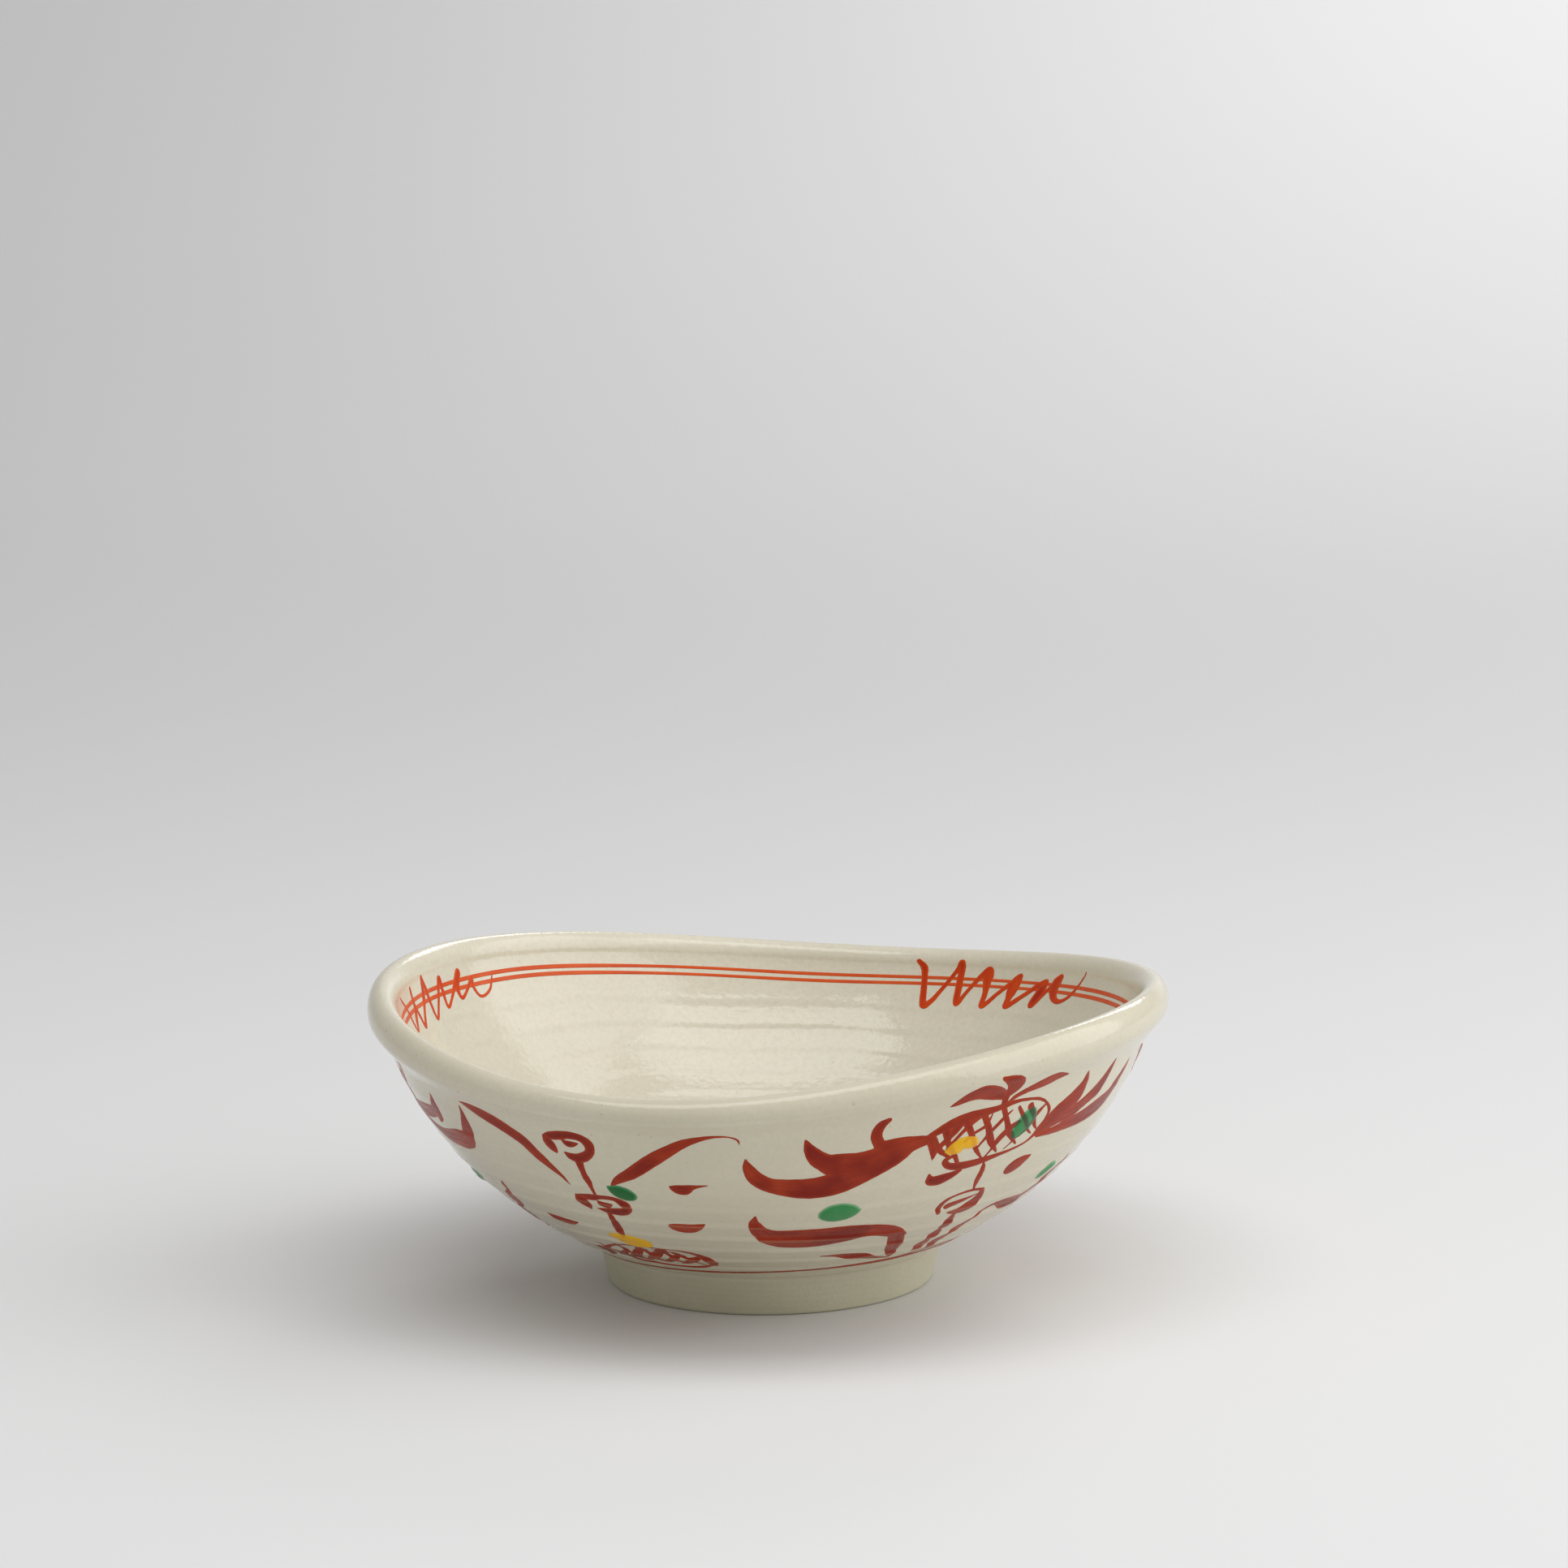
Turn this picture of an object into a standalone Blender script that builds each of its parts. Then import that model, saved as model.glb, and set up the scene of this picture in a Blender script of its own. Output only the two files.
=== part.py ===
"""A wheel-thrown glazed ceramic bowl with a wavy rolled lip, painted over the glaze in iron red,
green and yellow enamel.

The bowl stands on z = 0 with its axis on Z, and its front is at -Y. A place on the bowl is an
angle and a distance along the wall's section: the angle is in degrees from the front, growing
towards +X, and the distance is millimetres climbed from the foot's ledge on the outside, or
millimetres gone down from the top of the lip on the inside.
"""

import math

import bmesh
import bpy
from mathutils import Vector

MM = 0.001

# The thrown shape, in millimetres, before the lip is bent into its waves.
FOOT_RADIUS = 34.6
FOOT_TOP_RADIUS = 36.4
FOOT_HEIGHT = 8.8
FOOT_RING_WIDTH = 4.0
FOOT_BEVEL = 0.5
UNDERSIDE_HEIGHT = 5.2
UNDERSIDE_FILLET_RADIUS = 25.5
WALL_FOOT = (37.4, FOOT_HEIGHT)
WALL_SWELL = ((51.6, 16.2), (71.5, 28.3))
WALL_TOP = (80.6, 52.8)
LIP_RADIUS = 81.0
LIP_HEIGHT = 56.8
LIP_HALF_WIDTH = 3.1
LIP_HALF_HEIGHT = 4.0
LIP_START_DEGREES = -60.0
INSIDE_SWELL = ((75.0, 45.0), (56.0, 19.0))
INSIDE_FLOOR = (30.0, 12.2)
INSIDE_CENTRE_HEIGHT = 11.6

# How the soft lip was bent: each wave has its count around the bowl, its size and its crest.
LIP_HEIGHT_WAVES = ((2, 4.1, 72.0), (1, 0.54, -37.0), (3, 0.27, 30.0), (4, 0.25, 27.5))
LIP_RADIUS_WAVES = ((2, 0.48, 109.5), (3, 0.52, 68.7))

# Coats, from the clay outwards.
COAT_GAP = 0.3
GLAZE_THICKNESS = 0.5
ENAMEL_THICKNESS = 0.25
MIN_STROKE_WIDTH = 0.5

# How finely the solids are faceted.
FACETS_AROUND = 40
WALL_ROWS = 6
LIP_ROWS = 4
INSIDE_ROWS = 5
FLAT_ANGLE = 0.01
WELD_DISTANCE = 0.001

# Line rings: distance along the wall, and width.
FOOT_LINE = (6.6, 0.9)
FOOT_LINE_TILT = 3.6
FOOT_LINE_TILT_FROM = 8.0
INNER_LINES = ((8.7, 0.65), (10.3, 0.65))

# Where the painted scene is repeated around the bowl.
LEFT_TURN = -122.0
RIGHT_TURN = 121.0
RIGHT_POD_RAISE = 5.0
# The left side drop was set further round and lower than its neighbours: its turn and climb.
LEFT_SIDE_DROP = (-131.0, -3.0)


def clear_scene():
    for item in list(bpy.data.objects):
        bpy.data.objects.remove(item, do_unlink=True)


def glossy_material(name, colour, roughness):
    """A fired surface: its colour and how glossy it is."""
    material = bpy.data.materials.new(name)
    material.use_nodes = True
    shader = material.node_tree.nodes["Principled BSDF"]
    shader.inputs["Base Color"].default_value = (*colour, 1.0)
    shader.inputs["Roughness"].default_value = roughness
    shader.inputs["Metallic"].default_value = 0.0
    material.diffuse_color = (*colour, 1.0)
    return material


# ---------------------------------------------------------------- the wall's section


def bezier(start, first, second, end, steps):
    """Points of a cubic Bezier in the section plane, both ends included."""
    points = []
    for i in range(steps + 1):
        t = i / steps
        s = 1.0 - t
        weights = (s * s * s, 3 * s * s * t, 3 * s * t * t, t * t * t)
        corners = (start, first, second, end)
        points.append(tuple(sum(w * c[k] for w, c in zip(weights, corners)) for k in (0, 1)))
    return points


def lip_arc(start_degrees, end_degrees, steps):
    """Points of the lip's oval section, counted anticlockwise from outside."""
    points = []
    for i in range(steps + 1):
        angle = math.radians(start_degrees + (end_degrees - start_degrees) * i / steps)
        points.append((LIP_RADIUS + LIP_HALF_WIDTH * math.cos(angle),
                       LIP_HEIGHT + LIP_HALF_HEIGHT * math.sin(angle)))
    return points


def outside_section(wall_steps, lip_steps):
    """From the foot's ledge up the outer wall and around the lip to its top."""
    return bezier(WALL_FOOT, *WALL_SWELL, WALL_TOP, wall_steps) + lip_arc(LIP_START_DEGREES, 90.0, lip_steps)


def inside_section(lip_steps, wall_steps):
    """From the top of the lip down the inner wall to the middle of the floor."""
    lip = lip_arc(90.0, 180.0, lip_steps)
    return lip + bezier(lip[-1], *INSIDE_SWELL, INSIDE_FLOOR, wall_steps)[1:] + [(0.0, INSIDE_CENTRE_HEIGHT)]


def glazed_section():
    """The whole glazed surface, from the foot's ledge over the lip to the floor's middle."""
    return outside_section(WALL_ROWS, LIP_ROWS) + inside_section(LIP_ROWS // 2, INSIDE_ROWS)[1:]


def inset(section, depth):
    """A section moved into the clay by depth, square to itself."""
    moved = []
    last = len(section) - 1
    for i, (radius, height) in enumerate(section):
        before = section[max(i - 1, 0)]
        after = section[min(i + 1, last)]
        along = Vector((after[0] - before[0], after[1] - before[1])).normalized()
        if radius == 0.0:
            along = Vector((-1.0, 0.0))
        moved.append((radius - along.y * depth, height + along.x * depth))
    return moved


def wave_sum(waves, degrees):
    return sum(size * math.cos(math.radians(count * (degrees - crest))) for count, size, crest in waves)


def bent(degrees, radius, height):
    """A point of the thrown shape, in metres, after the lip was bent: the foot stays round."""
    rise = max(height - FOOT_HEIGHT, 0.0) / (LIP_HEIGHT - FOOT_HEIGHT)
    share = rise * rise
    radius += share * wave_sum(LIP_RADIUS_WAVES, degrees) * min(radius / LIP_RADIUS, 1.0)
    height += share * wave_sum(LIP_HEIGHT_WAVES, degrees)
    angle = math.radians(degrees)
    return Vector((radius * math.sin(angle), -radius * math.cos(angle), height)) * MM


class Chart:
    """Distances along one side of the wall, turned into radius, height and the way out."""

    def __init__(self, section):
        self.section = section
        self.marks = [0.0]
        for (r0, z0), (r1, z1) in zip(section, section[1:]):
            self.marks.append(self.marks[-1] + math.hypot(r1 - r0, z1 - z0))

    def section_at(self, distance):
        distance = min(max(distance, 0.0), self.marks[-1])
        i = 1
        while self.marks[i] < distance:
            i += 1
        share = (distance - self.marks[i - 1]) / (self.marks[i] - self.marks[i - 1])
        (r0, z0), (r1, z1) = self.section[i - 1], self.section[i]
        step = Vector((r1 - r0, z1 - z0)).normalized()
        normal = Vector((step.y, -step.x))
        return r0 + (r1 - r0) * share, z0 + (z1 - z0) * share, normal

    def radius_at(self, distance):
        return self.section_at(distance)[0]

    def place(self, degrees, distance, lift):
        """A point lifted off the faceted wall: between facet edges it follows the flat facet."""
        radius, height, normal = self.section_at(distance)
        radius += normal.x * lift
        height += normal.y * lift
        step = 360.0 / FACETS_AROUND
        facet = math.floor(degrees / step)
        before = bent(facet * step, radius, height)
        after = bent((facet + 1) * step, radius, height)
        return before.lerp(after, degrees / step - facet)


OUTSIDE = Chart(outside_section(WALL_ROWS, LIP_ROWS))
INSIDE = Chart(inside_section(LIP_ROWS // 2, INSIDE_ROWS))


# ---------------------------------------------------------------- turned solids


def new_object(name, bm, material):
    """A mesh object from bm, shaded smooth except at real edges."""
    mesh = bpy.data.meshes.new(name)
    bm.to_mesh(mesh)
    bm.free()
    item = bpy.data.objects.new(name, mesh)
    bpy.context.scene.collection.objects.link(item)
    mesh.materials.append(material)
    mesh.shade_smooth()
    mesh.set_sharp_from_angle(angle=math.radians(40.0))
    return item


def face_outwards(bm):
    bmesh.ops.recalc_face_normals(bm, faces=bm.faces)
    if bm.calc_volume(signed=True) < 0:
        bmesh.ops.reverse_faces(bm, faces=bm.faces)


def turned(name, outline, material):
    """Spins a closed outline of (radius, height) once around Z and bends it with the lip."""
    bm = bmesh.new()
    ring = [bm.verts.new((0.0, -radius, height)) for radius, height in outline]
    edges = [bm.edges.new((a, b)) for a, b in zip(ring, ring[1:] + ring[:1])
             if a.co.y != 0.0 or b.co.y != 0.0]
    bmesh.ops.spin(bm, geom=ring + edges, cent=(0, 0, 0), axis=(0, 0, 1), angle=math.tau,
                   steps=FACETS_AROUND, use_merge=True, use_duplicate=False)
    bmesh.ops.remove_doubles(bm, verts=bm.verts, dist=WELD_DISTANCE)
    for vert in bm.verts:
        radius = math.hypot(vert.co.x, vert.co.y)
        degrees = math.degrees(math.atan2(vert.co.x, -vert.co.y))
        vert.co = bent(degrees, radius, vert.co.z)
    face_outwards(bm)
    return new_object(name, bm, material)


def clay_body():
    """The thrown and turned clay: floor, wall, lip core and the bare foot ring, in one piece."""
    core = inset(glazed_section(), GLAZE_THICKNESS + COAT_GAP)
    ring_inside = FOOT_RADIUS - FOOT_RING_WIDTH
    foot = [
        (0.0, UNDERSIDE_HEIGHT),
        (UNDERSIDE_FILLET_RADIUS, UNDERSIDE_HEIGHT),
        (ring_inside - 1.2, UNDERSIDE_HEIGHT - 1.2),
        (ring_inside, FOOT_BEVEL),
        (ring_inside + FOOT_BEVEL, 0.0),
        (FOOT_RADIUS - FOOT_BEVEL, 0.0),
        (FOOT_RADIUS, FOOT_BEVEL),
        (FOOT_TOP_RADIUS, FOOT_HEIGHT - 0.9),
        (core[0][0] - 0.7, FOOT_HEIGHT - 0.5),
    ]
    return turned("clay_body", foot + core, glossy_material("bare_clay", (0.60, 0.57, 0.46), 0.6))


def glaze_coat():
    """The glaze: a thin shell over the outer wall, the lip and the whole inside."""
    surface = glazed_section()
    outline = surface + inset(surface, GLAZE_THICKNESS)[::-1]
    return turned("glaze_coat", outline, glossy_material("cream_glaze", (0.66, 0.62, 0.50), 0.12))


# ---------------------------------------------------------------- brush strokes


def stroke_edges(chart, points):
    """The two sides of a stroke, square to its path in true millimetres."""
    left = []
    right = []
    for i, (degrees, distance, width) in enumerate(points):
        before = points[max(i - 1, 0)]
        after = points[min(i + 1, len(points) - 1)]
        per_degree = math.radians(1.0) * chart.radius_at(distance)
        across = Vector((before[1] - after[1], (after[0] - before[0]) * per_degree)).normalized()
        half = max(width, MIN_STROKE_WIDTH) / 2
        left.append((degrees + across.x * half / per_degree, distance + across.y * half))
        right.append((degrees - across.x * half / per_degree, distance - across.y * half))
    return left, right


def add_ribbon(bm, left, right):
    """A flat ribbon as a closed slab one unit thick, with its sides given point by point."""
    low = [(bm.verts.new((*a, 0.0)), bm.verts.new((*b, 0.0))) for a, b in zip(left, right)]
    high = [(bm.verts.new((*a, 1.0)), bm.verts.new((*b, 1.0))) for a, b in zip(left, right)]
    for i in range(len(low) - 1):
        bm.faces.new((low[i][0], low[i][1], low[i + 1][1], low[i + 1][0]))
        bm.faces.new((high[i][1], high[i][0], high[i + 1][0], high[i + 1][1]))
        bm.faces.new((low[i][0], low[i + 1][0], high[i + 1][0], high[i][0]))
        bm.faces.new((low[i][1], high[i][1], high[i + 1][1], low[i + 1][1]))
    for end in (0, -1):
        bm.faces.new((low[end][0], high[end][0], high[end][1], low[end][1]))
    face_outwards(bm)


def flat_slab(chart, strokes):
    bm = bmesh.new()
    for points in strokes:
        part = bmesh.new()
        add_ribbon(part, *stroke_edges(chart, points))
        mesh = bpy.data.meshes.new("ribbon")
        part.to_mesh(mesh)
        part.free()
        bm.from_mesh(mesh)
        bpy.data.meshes.remove(mesh)
    return bm


def scratch_object(bm):
    mesh = bpy.data.meshes.new("scratch")
    bm.to_mesh(mesh)
    bm.free()
    item = bpy.data.objects.new("scratch", mesh)
    bpy.context.scene.collection.objects.link(item)
    return item


def joined_slab(chart, strokes):
    """One flat slab from strokes that cross or touch, by a Boolean union."""
    if len(strokes) == 1:
        return flat_slab(chart, strokes)
    first = scratch_object(flat_slab(chart, strokes[:1]))
    rest = scratch_object(flat_slab(chart, strokes[1:]))
    union = first.modifiers.new("union", "BOOLEAN")
    union.operation = "UNION"
    union.solver = "EXACT"
    union.use_self = True
    union.object = rest
    graph = bpy.context.evaluated_depsgraph_get()
    bm = bmesh.new()
    bm.from_mesh(first.evaluated_get(graph).to_mesh())
    bpy.data.objects.remove(first, do_unlink=True)
    bpy.data.objects.remove(rest, do_unlink=True)
    return bm


def cut_on(bm, place, normal):
    geometry = bm.verts[:] + bm.edges[:] + bm.faces[:]
    bmesh.ops.bisect_plane(bm, geom=geometry, plane_co=place, plane_no=normal, dist=1e-5)


def cut_along_facets(bm, chart):
    """Cuts the flat slab where the glaze under it is creased, so that it lies parallel to it."""
    step = 360.0 / FACETS_AROUND
    low = min(vert.co.x for vert in bm.verts)
    high = max(vert.co.x for vert in bm.verts)
    for i in range(math.ceil(low / step), math.floor(high / step) + 1):
        cut_on(bm, (i * step, 0, 0), (1, 0, 0))
    low = min(vert.co.y for vert in bm.verts)
    high = max(vert.co.y for vert in bm.verts)
    for mark in chart.marks:
        if low < mark < high:
            cut_on(bm, (0, mark, 0), (0, 1, 0))


def enamel(name, chart, strokes, material, turn=0.0, layer=0, climb=0.0):
    """A deposit of enamel: strokes joined flat, then laid on the wall at its own layer."""
    placed = [[(degrees + turn, distance + climb, width) for degrees, distance, width in points]
              for points in strokes]
    bm = joined_slab(chart, placed)
    bmesh.ops.dissolve_limit(bm, angle_limit=FLAT_ANGLE, verts=bm.verts, edges=bm.edges)
    cut_along_facets(bm, chart)
    bmesh.ops.triangulate(bm, faces=bm.faces)
    base = COAT_GAP + layer * (ENAMEL_THICKNESS + COAT_GAP)
    for vert in bm.verts:
        lift = base + vert.co.z * ENAMEL_THICKNESS
        vert.co = chart.place(vert.co.x, vert.co.y, lift)
    return new_object(name, bm, material)


def ring_line(name, chart, distance_at, width, material):
    """A painted line that runs all the way around the bowl."""
    bm = bmesh.new()
    rings = []
    for i in range(FACETS_AROUND):
        degrees = 360.0 * i / FACETS_AROUND
        middle = distance_at(degrees)
        corners = ((-0.5, 0.0), (0.5, 0.0), (0.5, 1.0), (-0.5, 1.0))
        rings.append([bm.verts.new(chart.place(degrees, middle + side * width,
                                               COAT_GAP + up * ENAMEL_THICKNESS))
                      for side, up in corners])
    for ring, following in zip(rings, rings[1:] + rings[:1]):
        for k in range(4):
            bm.faces.new((ring[k], ring[k - 1], following[k - 1], following[k]))
    face_outwards(bm)
    return new_object(name, bm, material)


# ---------------------------------------------------------------- the painted scene
# Every stroke is a row of (degrees, distance, width) from where the brush went down to where it
# lifted. They are drawn once, for the front, and repeated by turning them.

CLOUD_WAVE = (
    ((-3.6, 55.3, 0.6), (-2.1, 49.4, 3.5), (2.5, 46.2, 4.8), (8.6, 45.8, 6.0), (14.4, 49.2, 6.7),
     (19.6, 52.6, 5.4), (24.4, 54.8, 2.2)),
    ((5.3, 59.3, 0.5), (6.6, 53.7, 2.9), (10.3, 51.1, 5.8), (16.5, 51.4, 7.4), (20.0, 53.0, 6.0)),
    ((17.1, 62.0, 0.6), (15.9, 58.4, 2.0), (17.6, 54.6, 4.4), (22.0, 54.8, 3.3)),
)
FISH_OUTLINE = (
    ((24.0, 55.6, 1.6), (28.1, 57.6, 2.6), (35.4, 58.9, 1.6), (42.0, 59.2, 0.8), (46.6, 56.6, 0.8),
     (47.2, 52.6, 0.9), (46.0, 49.2, 1.2)),
    ((29.8, 49.2, 1.0), (28.7, 47.6, 1.3), (31.9, 45.7, 2.2), (39.6, 46.6, 1.2), (46.2, 50.0, 1.2)),
    ((24.6, 56.0, 1.8), (25.8, 51.6, 1.5), (26.2, 49.0, 0.5)),
)
FISH_SCALES = (
    ((27.3, 56.8, 2.0), (28.5, 52.0, 1.3), (31.6, 46.0, 0.8)),
    ((30.6, 57.8, 1.9), (32.5, 53.0, 1.2), (35.9, 46.4, 0.6)),
    ((33.6, 58.4, 1.5), (35.0, 54.8, 1.5), (38.7, 47.0, 0.6)),
    ((36.8, 59.2, 1.4), (38.4, 55.3, 1.3), (42.5, 47.6, 0.6)),
    ((40.2, 58.8, 0.9), (41.9, 55.0, 1.2), (45.0, 49.6, 0.6)),
    ((29.6, 57.8, 1.8), (28.1, 54.4, 1.6), (26.0, 49.8, 0.6)),
    ((33.0, 58.6, 1.4), (29.6, 53.9, 1.0), (26.4, 50.4, 0.6)),
    ((39.0, 58.9, 0.6), (35.8, 53.5, 1.0), (30.6, 47.0, 0.6)),
    ((44.6, 57.9, 0.6), (39.5, 53.0, 1.6), (35.6, 46.2, 0.6)),
    ((46.8, 54.0, 0.6), (43.2, 51.4, 1.0), (39.4, 46.8, 0.6)),
)
FISH_FEELERS = (
    ((27.6, 60.4, 0.6), (29.4, 61.6, 2.0), (33.0, 61.8, 2.2), (37.4, 60.6, 1.0)),
    ((35.2, 62.0, 1.2), (37.2, 61.9, 2.2), (37.2, 60.4, 1.6), (36.8, 58.6, 1.5)),
    ((37.0, 59.9, 1.0), (40.4, 61.0, 1.5), (44.0, 62.0, 1.8), (48.4, 62.4, 0.6)),
)
FISH_TAIL = (
    ((46.4, 50.4, 1.4), (49.9, 54.4, 3.8), (53.2, 57.8, 4.2), (54.2, 61.6, 0.6)),
    ((46.3, 49.8, 1.2), (51.6, 51.8, 4.5), (57.5, 54.6, 5.0), (62.7, 61.4, 0.6)),
    ((46.2, 49.5, 1.2), (50.4, 49.3, 2.9), (57.5, 50.2, 5.6), (64.0, 53.8, 5.0), (69.5, 60.4, 0.6)),
)
LOW_WAVE = (
    ((-2.6, 36.2, 0.6), (-2.9, 33.0, 2.5), (-1.0, 28.4, 5.4), (4.0, 25.7, 7.6), (11.0, 25.9, 7.8),
     (18.3, 27.0, 5.5), (24.0, 25.8, 5.2), (28.6, 22.9, 1.4)),
    ((26.2, 24.4, 3.4), (28.2, 19.3, 3.0), (29.4, 15.6, 2.2), (31.4, 10.8, 0.6)),
)
BASE_LEAF = (((11.9, 14.9, 0.5), (17.6, 14.4, 2.2), (23.0, 12.7, 3.0), (28.2, 10.4, 0.6)),)
ARCH_LEAF = (
    ((-26.2, 45.2, 0.6), (-22.0, 49.8, 3.1), (-16.4, 56.2, 3.4), (-10.4, 61.3, 1.8),
     (-6.2, 61.9, 0.8), (-4.4, 59.6, 0.5)),
)
LONG_LEAF = (((-51.0, 61.4, 0.6), (-43.8, 58.7, 3.5), (-38.6, 53.4, 3.3), (-34.4, 43.8, 0.6)),)
RIGHT_LONG_LEAF = (((-45.4, 60.4, 0.6), (-42.4, 58.0, 3.2), (-38.6, 53.4, 3.3), (-34.4, 43.8, 0.6)),)
VINE = (
    ((-35.0, 58.6, 0.6), (-31.6, 59.7, 2.5), (-28.4, 59.2, 2.4), (-27.4, 56.0, 2.3),
     (-29.6, 53.4, 2.6), (-32.1, 54.4, 0.8)),
    ((-34.9, 58.5, 0.9), (-34.3, 56.4, 2.5), (-33.7, 53.8, 0.6)),
    ((-32.3, 59.2, 0.8), (-30.8, 57.2, 1.8), (-29.2, 57.6, 0.6)),
    ((-30.1, 53.6, 2.0), (-30.3, 46.6, 1.6), (-30.4, 40.0, 0.9)),
    ((-34.6, 39.9, 0.6), (-30.4, 40.1, 1.9), (-26.2, 39.3, 2.2), (-25.7, 36.4, 2.2),
     (-28.4, 35.1, 2.9), (-31.8, 35.6, 0.8)),
    ((-34.5, 39.8, 1.0), (-33.9, 37.6, 3.0), (-33.4, 35.1, 0.8)),
    ((-31.2, 40.0, 0.8), (-29.7, 37.8, 2.0), (-28.1, 38.0, 0.6)),
    ((-30.1, 35.4, 1.6), (-30.3, 30.0, 2.7), (-31.4, 24.4, 1.6)),
)
POD_OUTLINE = (
    ((-45.2, 11.4, 1.0), (-43.2, 15.2, 1.2), (-33.8, 17.4, 1.2), (-25.0, 18.6, 1.4),
     (-17.0, 16.7, 2.8), (-14.9, 12.6, 2.8), (-15.6, 9.2, 1.8)),
    ((-45.6, 12.4, 1.0), (-42.0, 8.8, 2.0), (-34.5, 7.4, 2.0), (-22.0, 7.4, 1.8), (-15.2, 10.0, 2.0)),
)
POD_LATTICE = (
    ((-38.1, 16.9, 1.2), (-40.3, 11.5, 1.6), (-41.2, 8.4, 1.0)),
    ((-31.9, 17.8, 1.2), (-34.0, 11.3, 1.8), (-34.9, 7.2, 1.0)),
    ((-26.0, 18.6, 1.2), (-27.4, 11.3, 1.8), (-28.9, 7.2, 1.0)),
    ((-22.0, 18.4, 1.2), (-22.8, 11.4, 1.6), (-22.8, 7.2, 1.0)),
    ((-29.6, 18.0, 1.2), (-37.0, 10.4, 1.4), (-41.0, 8.4, 0.9)),
    ((-24.5, 18.6, 1.4), (-29.8, 12.0, 1.8), (-36.6, 7.2, 0.9)),
    ((-19.4, 17.8, 1.4), (-25.2, 11.4, 1.8), (-31.0, 7.2, 0.9)),
    ((-16.4, 15.4, 1.4), (-21.0, 10.8, 1.6), (-25.6, 7.2, 0.9)),
)
SCROLL = (
    ((36.9, 43.0, 0.9), (37.5, 40.6, 1.8), (37.8, 36.0, 0.9)),
    ((33.2, 30.1, 0.6), (33.0, 33.8, 1.5), (36.0, 36.4, 1.0), (40.8, 35.8, 1.1)),
    ((40.5, 36.2, 0.9), (41.3, 32.0, 3.0), (38.4, 29.7, 2.4), (35.8, 29.3, 0.6)),
    ((34.0, 31.6, 1.6), (36.4, 33.1, 2.4), (40.4, 34.9, 0.6)),
    ((38.6, 30.2, 1.0), (38.5, 25.0, 2.6), (38.2, 21.6, 1.4), (38.8, 16.6, 2.6), (39.4, 11.2, 0.6)),
)
REED = (
    ((43.2, 12.1, 0.8), (43.0, 16.0, 2.2), (45.4, 21.0, 1.4), (49.5, 25.8, 1.2), (54.0, 26.4, 1.2),
     (58.5, 26.9, 3.2), (64.0, 29.6, 2.2), (70.0, 33.4, 1.6), (75.6, 37.0, 0.6)),
)
FIN = (((26.5, 44.6, 0.6), (27.4, 42.2, 2.6), (29.6, 42.3, 2.8), (33.0, 43.0, 0.6)),)
UPPER_DAB = (((-16.0, 46.5, 0.6), (-13.9, 45.7, 2.6), (-10.0, 47.2, 0.5)),)
LOWER_DAB = (((-18.7, 31.5, 0.6), (-16.4, 30.5, 3.3), (-12.0, 32.5, 0.5)),)
SIDE_DAB = (((-49.4, 27.4, 0.5), (-45.4, 26.2, 2.6), (-41.2, 26.8, 0.5)),)
RIGHT_DAB = (((48.2, 44.2, 0.5), (46.3, 41.9, 3.4), (45.0, 40.2, 1.6)),)
GREEN_BUD = (((-27.0, 44.7, 1.0), (-24.6, 43.5, 4.4), (-22.6, 41.8, 1.4)),)
GREEN_PEBBLE = (((8.2, 35.2, 2.0), (11.4, 35.6, 6.2), (16.2, 35.8, 1.0)),)
GREEN_SIDE_DROP = (((57.4, 31.0, 1.2), (60.2, 34.2, 3.6), (63.6, 38.0, 1.0)),)
GREEN_FISH_DROP = (((41.0, 50.9, 1.8), (42.2, 53.2, 4.2), (43.4, 56.4, 1.0)),)
YELLOW_BUD = (((-34.6, 22.8, 1.6), (-30.8, 21.8, 6.0), (-26.9, 20.6, 1.8)),)
YELLOW_FISH_DROP = (((28.6, 50.4, 2.2), (30.2, 51.2, 4.2), (32.2, 51.4, 3.2), (34.0, 51.0, 1.4)),)

# The zigzags over the inner lines: where each starts, and its number of teeth.
ZIGZAG_STARTS = (267.0, 153.0, 33.0)
ZIGZAG_TEETH = 6
ZIGZAG_PITCH = 6.4
ZIGZAG_TOP = (4.8, 0.5)
ZIGZAG_BOTTOM = (16.4, -0.6)
ZIGZAG_LEAN = 1.2
ZIGZAG_WIDTHS = (1.6, 1.0)


def zigzag(start):
    """Down strokes and up strokes whose swing dies away along the row."""
    strokes = []
    for i in range(ZIGZAG_TEETH):
        top = (start - i * ZIGZAG_PITCH, ZIGZAG_TOP[0] + i * ZIGZAG_TOP[1])
        bottom = (top[0] - ZIGZAG_LEAN, ZIGZAG_BOTTOM[0] + i * ZIGZAG_BOTTOM[1])
        following = (top[0] - ZIGZAG_PITCH, top[1] + ZIGZAG_TOP[1])
        strokes.append(((*top, ZIGZAG_WIDTHS[0]), (*bottom, ZIGZAG_WIDTHS[1])))
        strokes.append(((*bottom, ZIGZAG_WIDTHS[1]), (*following, ZIGZAG_WIDTHS[1])))
    return strokes


def foot_line_distance(degrees):
    """The line above the foot is drawn a little tilted."""
    distance, _ = FOOT_LINE
    return distance + FOOT_LINE_TILT * math.sin(math.radians(degrees - FOOT_LINE_TILT_FROM))


def paint_lines(red):
    ring_line("foot_line", OUTSIDE, foot_line_distance, FOOT_LINE[1], red)
    for name, (distance, width) in zip(("inner_line_upper", "inner_line_lower"), INNER_LINES):
        ring_line(name, INSIDE, lambda degrees, at=distance: at, width, red)
    for name, start in zip(("zigzag_left", "zigzag_right", "zigzag_front"), ZIGZAG_STARTS):
        enamel(name, INSIDE, zigzag(start), red, layer=1)


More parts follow.
